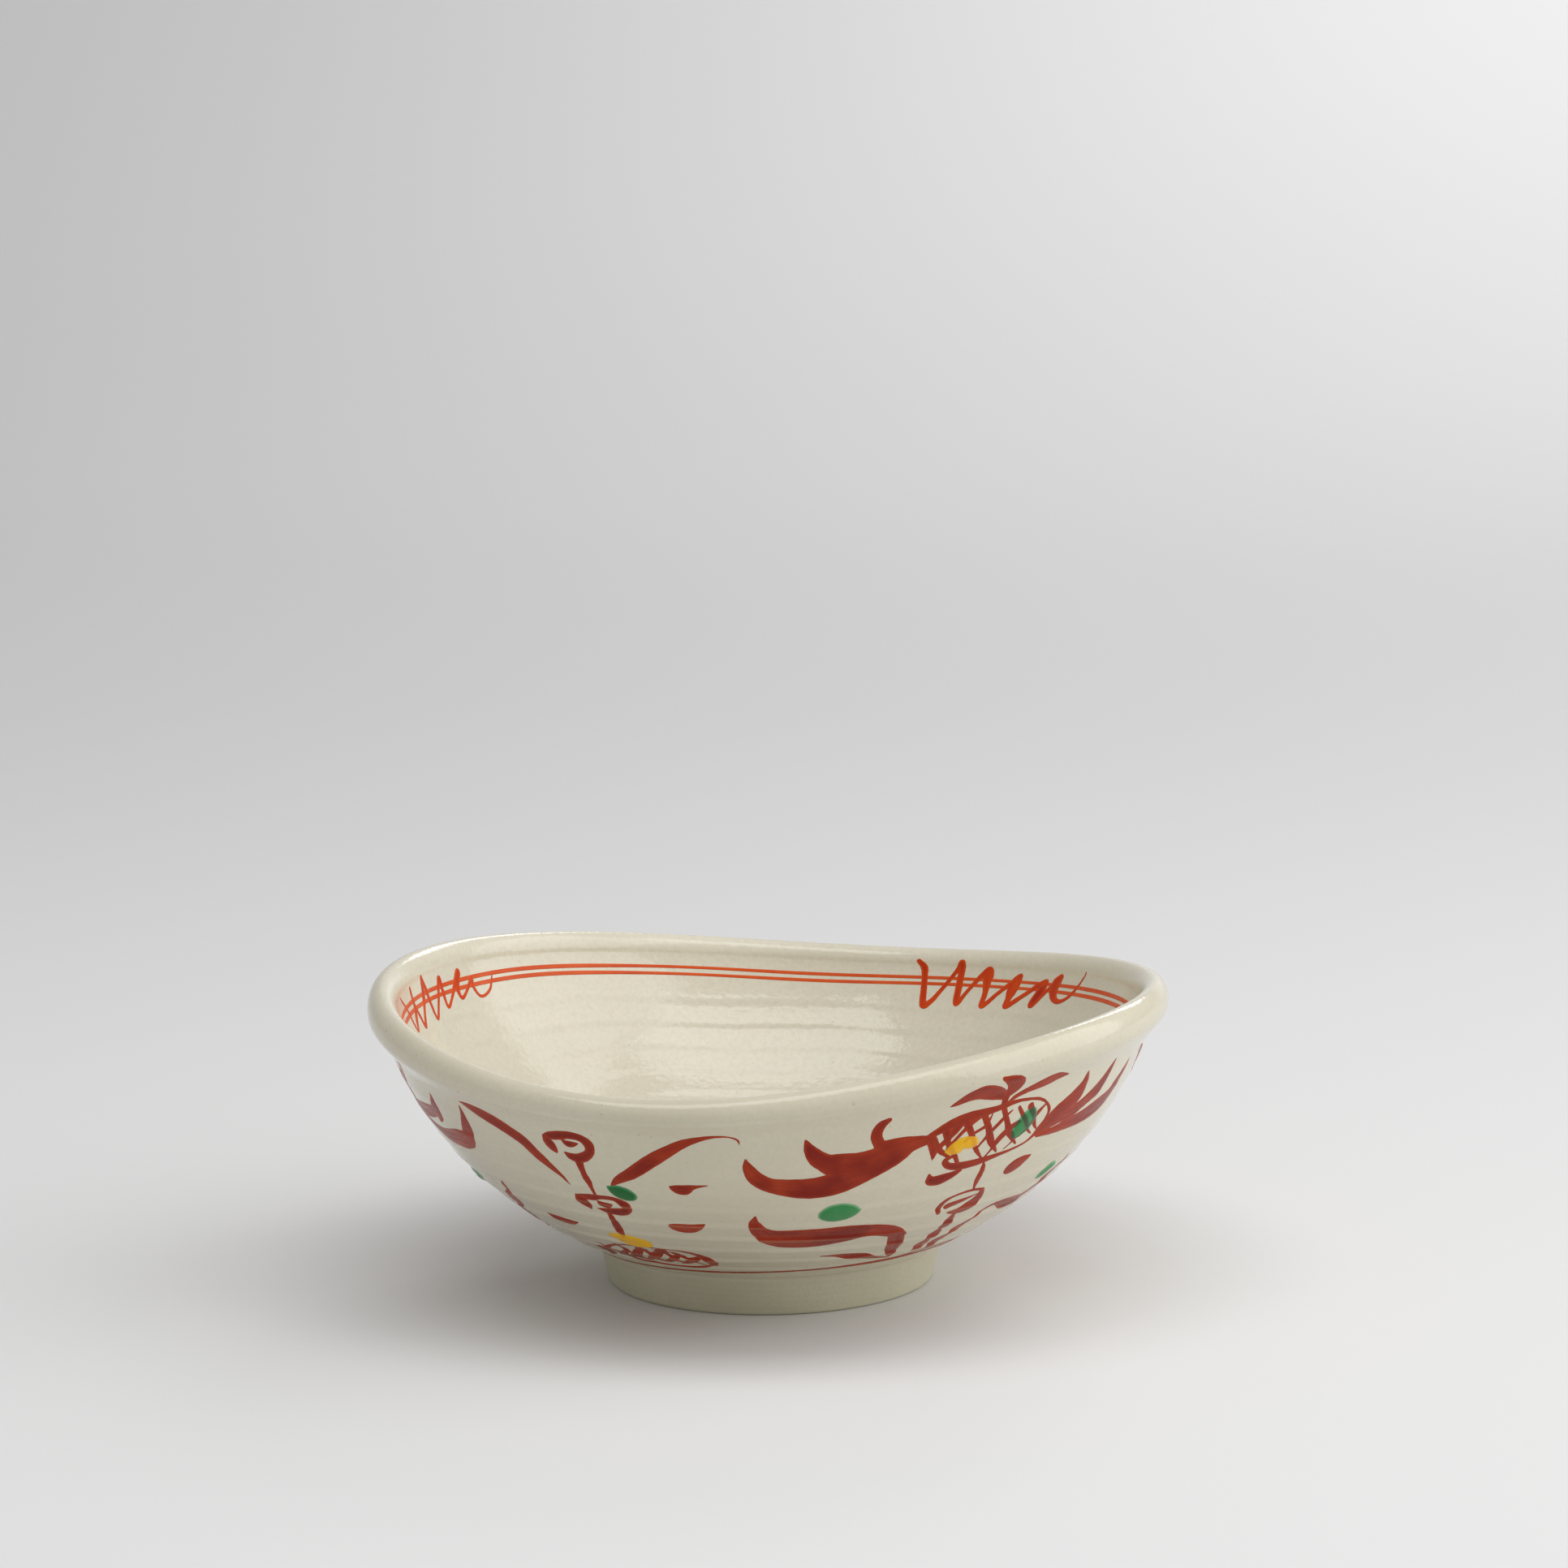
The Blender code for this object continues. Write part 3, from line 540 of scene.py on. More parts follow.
def make_ring(name, side, middle, width, paint):
    """A line that was painted while the bowl turned under the brush, from its distance and its
    width at RING_DEGREES."""
    half = width / 2
    rings = []
    for across, up in LINE_SECTION:
        lift = EDGE_LIFT + RED_RISE * up if up >= 0 else np.full(RING_TURNS, -PAINT_SINK)
        rings.append(side.place(RING_DEGREES, middle + across * half, lift))
    vertices = np.vstack(rings)
    size = len(LINE_SECTION)
    faces = []
    for k in range(size):
        following = (k + 1) % size
        for i in range(RING_TURNS):
            j = (i + 1) % RING_TURNS
            faces.append((k * RING_TURNS + i, k * RING_TURNS + j, following * RING_TURNS + j,
                          following * RING_TURNS + i))
    piece = add_piece(name, vertices.tolist(), faces, paint, name)
    halves = np.tile(half, size)
    across = np.repeat([across for across, _ in LINE_SECTION], RING_TURNS)
    store(piece, "along", np.tile(RING_DEGREES * DEGREE_SPAN, size))
    store(piece, "across", across * halves)
    store(piece, "width", halves * 2)
    store(piece, "depth", (1 - np.abs(across)) * halves)


# ---------------------------------------------------------------- the painted scene
# A stroke is a row of (degrees, distance, width) from where the brush went down to where it
# lifted, with its widths in millimetres.

CLOUD_WAVE = (
    ((-3.6, 55.2, 0.3), (-3.2, 52.5, 2.3), (-2.1, 49.3, 3.6), (-0.1, 47, 4.4), (2.5, 45.9, 5.3),
     (5.7, 45.1, 6.4), (8.6, 45.3, 6.9), (11.7, 46.7, 7.2), (14.4, 48.8, 7.3), (17.1, 50.8, 6.9),
     (19.6, 52.4, 5.6), (21.6, 54, 3.8), (24.2, 54.6, 2.2)),
    ((5.3, 59.2, 0.6), (6, 56.6, 2.5), (7.3, 53.9, 4.1), (8.8, 52.3, 4.9), (10.5, 51.4, 6.5),
     (13.5, 50.6, 7.5), (16.6, 51.2, 7.6), (19.1, 52.7, 6.5)),
    ((17.4, 61.8, 1.5), (16.4, 60.6, 2.3), (15.9, 58.2, 2.5), (16.7, 55.5, 2.7), (18.1, 54, 5.2),
     (19.9, 54.1, 5.2), (22, 54.7, 3.4), (24.7, 54.9, 1.9)),
)
FISH_BODY = (
    ((23.9, 55.2, 1), (26, 56.5, 1.9), (28.1, 57.6, 2.6), (30.5, 58.3, 2.8), (33.1, 58.7, 2.1),
     (35.4, 58.9, 1.6), (37.5, 59.3, 1.4), (39.6, 59.5, 0.9), (42, 59.2, 0.7), (44.3, 58.5, 0.7),
     (46.1, 57.1, 0.6), (47.3, 55.2, 0.9), (47.3, 53.1, 0.8), (46.6, 51.2, 1), (46.1, 49.7, 1)),
    ((29.6, 48.9, 0.9), (28.6, 48.1, 1.3), (29.7, 46.4, 1.7), (31.9, 45.7, 2.3), (34.5, 45.7, 2.2),
     (37.1, 46.1, 1.8), (39.6, 46.6, 1.2), (42.2, 47.2, 0.8), (44.5, 48.1, 0.7), (46.1, 49.6, 1)),
    ((24.8, 54.9, 1.9), (25.8, 51.6, 1.5), (26.1, 49.1, 0.2)),
    ((25.3, 54.9, 1.5), (26.8, 51.6, 1.4), (29.1, 49, 0.7)),
    ((27.4, 56, 2), (28.3, 52.6, 1.3), (30.2, 49, 1.1), (31.5, 46.2, 0.8)),
    ((30.7, 57.2, 1.9), (32.5, 53.1, 1.2), (33.8, 49.9, 1.1), (35.8, 46.8, 0.5)),
    ((33.6, 58.1, 1.5), (35, 54.8, 1.5), (36.5, 51, 1.7), (38.6, 47.6, 0.4)),
    ((36.8, 59.2, 1.3), (38.4, 55.3, 1.3), (39.9, 52, 1.6), (42.3, 48.6, 0.4)),
    ((40.2, 57.9, 0.8), (41.9, 55, 1.1), (43.6, 51.9, 0.8), (45.1, 50.2, 0.3)),
    ((42.6, 57.5, 1.6), (43.8, 55.2, 1.3), (45, 52.5, 0.9), (45.9, 51.2, 0.4)),
    ((29.4, 56.8, 2.1), (28.1, 54.4, 1.7), (26.7, 51.8, 1.2), (26.1, 49.1, 0.3)),
    ((32.9, 58.1, 1.4), (31.2, 56.3, 1.2), (29.6, 53.9, 1), (28.3, 51.3, 0.7)),
    ((35.1, 57.9, 0.4), (34.5, 55.5, 0.8), (32.5, 54.1, 0.9), (31.1, 52.7, 0.7)),
    ((38.9, 57.6, 0.4), (37.2, 55.6, 1), (35.8, 53.5, 1.1), (34.3, 50.2, 0.6)),
    ((41, 54.5, 0.8), (39.5, 53, 1.8), (38.2, 51.1, 1.8), (37.4, 49.1, 0.9), (36.4, 46.6, 0.4)),
    ((45.9, 56.6, 0.7), (44.7, 55.1, 1.1), (43.2, 52.2, 0.9), (41.6, 49.9, 0.6), (40, 47.9, 0.3)),
)
FISH_FEELERS = (
    ((27, 62.3, 0.4), (28.3, 63.2, 2), (29.8, 64.4, 3.4), (31.6, 64.8, 4.2), (33.6, 63.8, 4),
     (35.2, 62.7, 3), (36.4, 61.6, 1.6)),
    ((34.4, 67.6, 0.8), (35.6, 66.8, 2), (37, 65.6, 3.6), (37.6, 64.2, 4.2), (37.2, 63, 3.2),
     (36.9, 61.8, 1.9), (36.8, 60.6, 1.7), (36.8, 59.2, 1.4)),
    ((37.6, 59.9, 0.6), (38.6, 60.8, 1.2), (40, 61.5, 1.5), (41.6, 62.1, 1.9), (43.2, 62.6, 2.6),
     (44.8, 63.1, 2.9), (46.3, 63.3, 2.2), (48.7, 62.9, 0.3)),
)
FISH_TAIL = (
    ((46.9, 49.9, 1.1), (48, 51.7, 2.8), (49.4, 53.4, 4), (51.1, 54.6, 4.2), (52.6, 55.7, 4.3),
     (53.8, 56.8, 4.4), (54.3, 58.1, 3.1), (54.6, 59.4, 2.2), (54.4, 61.4, 0.6)),
    ((46.6, 49.6, 1), (49.1, 51, 2.2), (51.9, 52.1, 3), (54.6, 52.7, 3.5), (56.6, 53.8, 3.2),
     (58.4, 54.9, 3.3), (60, 56, 3.8), (60.9, 57.2, 3.4), (61.6, 58.7, 2.5), (62.2, 60.4, 1.6),
     (62.3, 61.8, 0.6)),
    ((46.9, 49.1, 0.8), (50.8, 49.2, 1.8), (54.3, 49.6, 2.8), (58.3, 50, 3.6), (61.9, 50.8, 4.4),
     (65, 51.7, 4.6), (66.4, 52.8, 4), (67.2, 54.1, 3.4), (68.2, 55.6, 2.8), (69, 57.1, 2.3),
     (69.8, 59.4, 0.6)),
)
LEFT_FISH_TAIL = (
    ((-51.9, 59.8, 0.4), (-52.1, 57.2, 1.7), (-52.8, 54.3, 3.2), (-54, 51.3, 3.8),
     (-55.2, 48.6, 2.6), (-56.1, 46.9, 0.6)),
    ((-54.6, 50.2, 3.6), (-57.6, 48.7, 5.4), (-61.2, 47.7, 4.6), (-64.8, 47.1, 3.8),
     (-68.5, 47.4, 3.4), (-72.5, 48.8, 3.2), (-76, 50.4, 2.4)),
    ((-60.6, 59.1, 0.4), (-60.9, 57.4, 1.7), (-61.5, 55.4, 3.2), (-62.3, 53.4, 3.6),
     (-62.8, 51.6, 0.9)),
    ((-62.4, 54, 2.6), (-66.5, 52.6, 3.4), (-71, 51.4, 3.4), (-75.5, 50.6, 3)),
    ((-71, 62.3, 0.4), (-72.5, 60, 1.6), (-74.5, 57, 2.8), (-77, 53.6, 3.2), (-79, 50.8, 2.4)),
)
LOW_WAVE = (
    ((-2.6, 36.1, 0.3), (-2.9, 33, 2.3), (-1.8, 29.5, 4.2), (0.3, 27, 6.2), (3.3, 25.6, 8.5),
     (6.9, 25.3, 9.1), (10.5, 25.6, 8.6), (14.4, 26.4, 7.6), (18.3, 27, 5.5), (22, 26.5, 4.6),
     (25, 24.9, 4.2), (27.6, 23.1, 2.8), (29, 22.6, 0.6)),
    ((26.5, 23.4, 3.3), (28.3, 19.3, 3.8), (29.3, 15.9, 3.4), (31, 11.9, 2), (32.4, 9.4, 0.4)),
)
ARCH_LEAF = (
    ((-26.2, 45.2, 0.4), (-24.2, 47.7, 2.2), (-21.6, 50.2, 3.1), (-17.7, 54.8, 3.5),
     (-15, 57.7, 3), (-12.5, 60.1, 2.4), (-10.1, 61.5, 1.6), (-7.9, 62.2, 0.9), (-5.9, 62, 0.5),
     (-4.6, 60.9, 0.5), (-4.3, 59.4, 0.15)),
)
VINE = (
    ((-35, 58.6, 0.4), (-33.3, 58.9, 2.4), (-30.8, 59.8, 2.4), (-28.8, 59.7, 2.3),
     (-27.5, 58.2, 2.6), (-27.6, 55.6, 2.1), (-29.3, 53.5, 2.7), (-31, 53.2, 2.5),
     (-32.1, 54.4, 0.5)),
    ((-34.9, 58.4, 0.8), (-34.4, 56.6, 2.6), (-34, 54.9, 1.9), (-33.7, 53.8, 0.4)),
    ((-31.9, 58.1, 0.3), (-30.8, 57.2, 1.9), (-29.2, 57.7, 0.4)),
    ((-30.2, 52.6, 2.1), (-30.3, 48.8, 1.5), (-30.3, 46.3, 1.8), (-30.2, 44.2, 1.1),
     (-30.4, 40.7, 0.7)),
    ((-34.6, 39.9, 0.5), (-32.1, 39.8, 2.2), (-29.5, 40.3, 1.6), (-27.2, 40.2, 1.8),
     (-25.6, 38.7, 2.5), (-25.5, 36.7, 2), (-27.5, 35.3, 3.2), (-29.8, 35.1, 2.4),
     (-31.8, 35.6, 0.5)),
    ((-34.6, 39.8, 0.9), (-33.9, 37.7, 3.2), (-33.5, 35.1, 0.6)),
    ((-30.7, 38.8, 0.3), (-29.7, 37.6, 2.2), (-28.1, 38.1, 0.6)),
    ((-30.2, 35, 0.8), (-30.2, 31.1, 1.7), (-31, 27.1, 2.1), (-31.4, 23.9, 1.1)),
)
POD = (
    ((-37.5, 17.3, 0.7), (-32.8, 18.6, 0.7), (-29.4, 19, 0.7), (-23.6, 18.7, 0.7),
     (-20.8, 18.4, 0.9), (-18.6, 17.5, 1.3), (-16.8, 16.1, 1.7), (-15.4, 14.1, 2.2),
     (-14.6, 12.2, 2.6), (-14.6, 9.9, 1.8)),
    ((-44.6, 15.6, 0.6), (-42.6, 13.7, 0.9), (-41, 12, 1.5), (-40.1, 10.6, 2.1), (-38.7, 9.1, 1.5),
     (-36.3, 8.2, 1.1), (-32.2, 8, 1), (-28.9, 7.6, 1.1), (-24.5, 7.5, 0.9), (-19.7, 7.8, 0.9),
     (-16.7, 8.6, 1.1), (-14.7, 10.1, 1.3)),
    ((-44.6, 13, 1.8), (-46.2, 11.1, 4.6), (-47.4, 8.9, 1.7)),
    ((-43.8, 13.6, 0.9), (-39.8, 15.9, 1), (-37.3, 17.5, 0.8)),
    ((-37.5, 17.3, 1), (-36.9, 15.9, 1.4), (-36.4, 14.4, 1.6), (-35.7, 13.3, 1.1),
     (-34.8, 12.2, 1)),
    ((-32, 17.2, 0.8), (-30.6, 16.9, 2), (-30.2, 14.9, 1.5), (-29.5, 13.9, 1.1), (-28.7, 13, 1.1)),
    ((-27.4, 17.5, 0.6), (-26.6, 16.9, 1.2), (-25.4, 17, 2.7), (-24.9, 15, 1.3), (-24, 14.1, 1.3),
     (-22.9, 13.7, 1)),
    ((-23.2, 17.1, 0.6), (-22.4, 16.3, 1.4), (-21.5, 15, 1.6), (-20.3, 13.8, 0.9),
     (-18.5, 13.8, 1.2), (-16.9, 14.1, 0.8)),
    ((-36.2, 14.8, 0.8), (-39.1, 12, 1.7), (-42.4, 9.8, 0.7)),
    ((-30.7, 17.5, 1.3), (-32.9, 14.7, 2.1), (-35.7, 11.7, 2.3), (-38.7, 9.6, 0.8)),
    ((-36, 11.1, 2.2), (-35, 10.4, 2), (-33.7, 9.7, 1.4), (-32.3, 9.5, 1)),
    ((-24.5, 17.9, 1.3), (-26.5, 15.9, 2.1), (-29.6, 12.7, 2.3), (-32.4, 10.2, 0.9)),
    ((-30, 11.3, 2), (-28.7, 10.7, 1.7), (-27.7, 9.9, 1.2)),
    ((-21.7, 15.4, 1), (-24, 13.1, 1.9), (-26.8, 10.3, 1.5), (-28.4, 10, 0.8)),
    ((-24.6, 11.9, 1.2), (-23.2, 11, 1.5), (-22.1, 10.1, 1.1)),
    ((-16.9, 14.9, 0.9), (-19.4, 12.5, 2.3), (-21.8, 10.3, 1.5), (-23.5, 9.3, 0.4)),
    ((-18.9, 11.5, 0.9), (-17.6, 10.2, 0.8), (-16.7, 9.6, 0.5)),
)
SCROLL = (
    ((37, 45, 0.6), (37.4, 43.3, 1.3), (37.6, 40.4, 1.5), (38.1, 37.2, 0.6)),
    ((33.4, 29.9, 0.8), (32.6, 32, 1.4), (33, 34.5, 1.3), (34.5, 35.9, 0.9), (36.7, 36.6, 0.8),
     (38.9, 36.6, 0.8), (40.7, 36.2, 0.9)),
    ((40.7, 35.8, 1.2), (41.1, 33.8, 2.2), (40.9, 31.7, 3.6), (40, 30.2, 3.8), (38.1, 29.5, 2.6),
     (35.9, 29.7, 1)),
    ((34.6, 32.3, 2.2), (36.5, 33, 1.9), (38.6, 34, 1), (40.3, 34.8, 0.4)),
    ((38.1, 28.4, 0.8), (38.4, 26, 2), (38.7, 23.5, 2.8), (38.3, 22.2, 1)),
    ((38.3, 21.9, 0.9), (38.6, 19.2, 3.2), (38.3, 17, 1.6), (38.5, 14.7, 3), (38.9, 11.9, 2.4)),
)
REED = (
    ((43.6, 11.4, 1.8), (43.4, 14.8, 3.4), (44.4, 18, 1.5), (45, 19.7, 3), (45.6, 21.6, 1.8),
     (46.8, 24.4, 1.2), (48.2, 27, 1.2), (50, 27.9, 1.4)),
    ((49.6, 27.9, 0.8), (52, 27.4, 2.6), (55.5, 26.2, 4.2), (59.2, 25.8, 3.8), (62, 27, 2.6),
     (63.6, 28.6, 2)),
    ((62.2, 27.4, 1), (63.4, 29.4, 3), (64.6, 31.4, 3.4), (65.6, 33.4, 2), (66.4, 35.4, 1.6),
     (67.2, 37.4, 0.4)),
)
LEFT_REED = (
    ((-79, 11.5, 1.6), (-73, 13.5, 2.2), (-68.5, 15.5, 1.8), (-65.4, 18, 1.4), (-64.2, 20, 2.6),
     (-63.2, 22.4, 3.4), (-62.4, 24.8, 2.2), (-61.4, 25.8, 0.8)),
    ((-61, 25.4, 0.5), (-60.3, 26.6, 1.8), (-59.4, 28.3, 3.6), (-58.2, 30.3, 3.8),
     (-57.1, 32.2, 2.2), (-56.4, 33.7, 1.1), (-55.8, 35.4, 1.4), (-54.8, 37.2, 0.5)),
)
# Single strokes at the front.
SINGLES = {
    "base_leaf": ((11.9, 14.9, 0.7), (16.1, 14.6, 1.8), (19.7, 13.7, 2.8), (23.1, 12.7, 2.6),
        (28, 10.4, 1.4), (32.4, 8.8, 0.5)),
    "fin": ((26.5, 44.9, 0.3), (27.2, 42.9, 2.2), (28.8, 42.5, 3.2), (30.7, 43.2, 2.4),
        (32.6, 44.2, 0.8)),
    "upper_dab": ((-15.9, 46.5, 0.6), (-14.9, 45.8, 2.6), (-13.9, 45.6, 3.3), (-12.8, 46.3, 2),
        (-11.5, 46.8, 1), (-9.8, 47.2, 0.3)),
    "lower_dab": ((-18.6, 31.8, 0.8), (-17.3, 30.7, 3.5), (-15.8, 30.4, 4.1), (-14.2, 31, 3),
        (-11.9, 32.6, 0.3)),
    "side_dab": ((-49.4, 27.6, 0.4), (-47.2, 26.5, 2.2), (-44.6, 26, 2.6), (-41.2, 26.8, 0.4)),
    "right_dab": ((48.4, 43.6, 0.4), (47.1, 42.8, 2.4), (45.9, 41.9, 4), (44.9, 41.3, 4),
        (44.6, 40.6, 1.6)),
    "long_leaf": ((-51.1, 61.4, 0.3), (-48.6, 60.8, 2.4), (-46.1, 59.9, 3.4), (-43.7, 58.7, 3.5),
        (-41.6, 57.2, 3.4), (-39.6, 55.3, 3.4), (-38.3, 52.5, 3), (-36.7, 49.5, 2.4),
        (-35.4, 46.7, 1.4), (-34.3, 43.7, 0.2)),
}
# The right long leaf is cut short above, and ends like the front one.
RIGHT_LONG_LEAF = (((-45.6, 60.6, 0.3), (-43.9, 59.2, 2.2), (-41.6, 57.2, 3.2),
                    *SINGLES["long_leaf"][5:]),)
GREEN_BUD = (
    ((-26.8, 44.7, 0.9), (-25.9, 43.9, 2.9), (-25.2, 43.3, 4.4), (-24.6, 42.8, 5),
     (-24.1, 42.5, 4.5)),
)
GREEN_PEBBLE = (
    ((10.2, 35.4, 3.8), (10.9, 35.5, 5.8), (12, 35.6, 6.8), (13.3, 35.7, 5.6), (14.6, 35.9, 3.2),
     (15.8, 36.2, 0.6)),
)
GREEN_SIDE_DROP = (
    ((59.2, 33.6, 1.4), (59.2, 34.4, 3.4), (59.6, 35.4, 4.4), (60.4, 36.2, 3.2), (61.6, 36.7, 1)),
)
GREEN_FISH_DROP = (
    ((41.5, 51.3, 2.8), (41.9, 52.3, 4.6), (42.5, 53.5, 5.4), (43, 54.7, 4.6), (43.3, 55.8, 2.2)),
)
YELLOW_BUD = (
    ((-33.8, 22.6, 3.6), (-32.4, 22.2, 5), (-30.6, 21.6, 5.5), (-28.9, 21.1, 5),
     (-27.9, 20.9, 3.6)),
)
YELLOW_FISH_DROP = (
    ((28.6, 50.8, 1.6), (29.8, 51.2, 3.6), (31, 52, 3.4), (32.4, 51.8, 3.2), (33.3, 51.2, 2)),
    ((29.4, 50.2, 1.4), (30.8, 50.2, 1.4)),
)

# The zigzags over the inner lines: (degrees, distance, width) where the brush turned.
ZIGZAG_RIGHT = (
    (154, 4.6, 1.2), (152.9, 6.4, 1.8), (152.6, 9.3, 1.5), (151.8, 16.3, 1.7), (150.4, 15.2, 1.4),
    (149.2, 12.6, 1.1), (146.8, 6.9, 1.1), (145.9, 4.6, 1.7), (145.8, 8.8, 1.8),
    (145.4, 15.3, 1.6), (144, 12.4, 1), (142.2, 8.6, 1.3), (140.4, 6.2, 1.8), (140.2, 7.6, 2.6),
    (140.3, 9.4, 2.3), (140.1, 12, 1.5), (139.9, 15.6, 1.4), (137.4, 12, 1.1), (134.9, 8.9, 1.3),
    (133.4, 7.1, 0.9), (134, 8.6, 2.8), (134.5, 10.9, 3), (134.7, 13, 1.8), (134.6, 15, 1.6),
    (131.5, 11.9, 1.2), (128.4, 8.8, 1.3), (126.9, 8, 0.9), (128, 11.1, 2.5), (128.9, 13.9, 2),
    (126.5, 10.4, 1.1), (123.6, 6.5, 0.9), (124.5, 8.3, 2.9), (124.6, 10.4, 2.6),
    (123.5, 12.1, 1.6), (121.7, 12.2, 1), (119.4, 10, 0.9), (116.8, 4.9, 0.3),
)
ZIGZAG_LEFT = (
    (267.6, 6, 0.5), (265.2, 9, 1), (264.4, 12.3, 1), (264, 13.8, 0.5), (262.4, 12.3, 1.1),
    (260.4, 9.7, 1.3), (260, 6.4, 1.1), (260.1, 9.4, 1.1), (259.5, 12.3, 1.1), (259.2, 14.2, 0.9),
    (256.5, 11.4, 1), (254.4, 8.2, 1.4), (253.8, 5.4, 0.6), (253.1, 7.9, 1.3), (253, 11.2, 1.1),
    (252.7, 14.2, 0.8), (249.7, 11, 0.8), (247.4, 7.2, 1.3), (247.3, 9.8, 1.2), (247.3, 13, 0.8),
    (244.6, 11.1, 0.8), (241.2, 7.2, 1.7), (242.2, 9.2, 1.8), (242.5, 11.1, 1.2),
    (241.8, 12.2, 0.8), (239.6, 10.7, 0.7), (237.8, 8.9, 1), (237.9, 10.6, 0.9),
    (236.9, 12.7, 0.7), (235.1, 12.6, 0.6), (233.4, 11.3, 0.6), (231.9, 8.1, 0.2),
)
FRONT_ZIGZAG_TURN = -120.0

# The foot line was laid on a slow wheel and wandered: (mean, then cosine sizes of once and twice
# around), all from where it climbs highest. Its ends overlap there.
FOOT_LINE = (4.3, 3.29, 0.2)
FOOT_LINE_CREST = 68.0
FOOT_LINE_WIDTH = 1.35
FOOT_LINE_END = (
    ((31, 6.9, 0.3), (37, 7.8, 0.8), (43, 9.6, 0.9), (50, 10.2, 0.8), (57, 9.6, 0.6),
     (64, 8.6, 0.2)),
)
# The inner lines: distance, and how far they sag near the back.
INNER_LINES = ((8.6, 0.85), (10.15, 1.1))
INNER_SAG_AT = 175.5
INNER_SAG_SPREAD = 26.0
INNER_LINE_WIDTH = 0.88
# How far an inner line strays, and the share by which a line's width does.
LINE_STRAY = 0.12
LINE_SWELL = 0.16


def turned_strokes(strokes, turn, climb=0.0, change=0.0):
    """Strokes moved around the bowl, and with change above 0 drawn a little differently."""
    moved = []
    for points in strokes:
        row = []
        for degrees, distance, width in points:
            sway = change * math.sin(0.21 * degrees + 0.13 * distance + turn)
            rise = change * math.cos(0.17 * degrees - 0.11 * distance + turn)
            row.append((degrees + turn + 0.5 * sway, distance + climb + 0.5 * rise,
                        width * (1 + 0.1 * sway)))
        moved.append(tuple(row))
    return tuple(moved)


# ---------------------------------------------------------------- materials
# Colours are linear. A red is (dragged thin, loaded, pooled); a drop is (edge, middle, over red).

IRON_RED = ((0.44, 0.050, 0.011), (0.310, 0.022, 0.005), (0.205, 0.009, 0.003))
WARM_RED = ((0.74, 0.090, 0.010), (0.54, 0.036, 0.003), (0.36, 0.014, 0.002))
LINE_RED = ((0.77, 0.13, 0.028), (0.62, 0.068, 0.013), (0.45, 0.030, 0.007))
# Painted highlight: the paler red that the enamel is mixed towards along the throwing rings'
# ridges.
RIDGE_HIGHLIGHT_RED = (0.54, 0.22, 0.12)
GREEN = ((0.22, 0.46, 0.22), (0.038, 0.255, 0.075), (0.045, 0.045, 0.02))
DEEP_GREEN = ((0.10, 0.34, 0.14), (0.008, 0.14, 0.030), (0.02, 0.08, 0.02))
YELLOW = ((0.84, 0.50, 0.03), (0.86, 0.46, 0.002), (0.66, 0.22, 0.004))
# Each pair is the darker and the lighter of a slow mottling.
GLAZE_OUTSIDE = ((0.645, 0.595, 0.45), (0.705, 0.655, 0.51))
# The inside pair is lighter: partly thicker glaze, partly painted light that brightens the inside.
GLAZE_INSIDE_THICK_AND_LIT = ((0.685, 0.64, 0.505), (0.74, 0.695, 0.565))
GLAZE_GRAIN = (0.60, 0.555, 0.45)
CLAY = ((0.555, 0.525, 0.37), (0.625, 0.59, 0.43))
CLAY_GRAIN = (0.47, 0.46, 0.36)
GLAZE_ON_FOOT = (0.655, 0.605, 0.46)
FLOOR = ((0.775, 0.775, 0.775), (0.805, 0.805, 0.805))
# Specks: (how crowded, size, share of them that show), how strong, and their colour.
GREY_SPECKS = ((420.0, 0.15, 0.15), 0.28, (0.30, 0.25, 0.17))
IRON_SPECKS = ((95.0, 0.055, 0.07), 0.85, (0.19, 0.075, 0.022))
CLAY_SPECKS = ((500.0, 0.14, 0.2), 0.4, (0.26, 0.22, 0.15))
# How far the glaze's lower edge wanders on the foot, and how soft it is.
EDGE_WANDER = 0.0003
EDGE_SOFTNESS = 0.0001


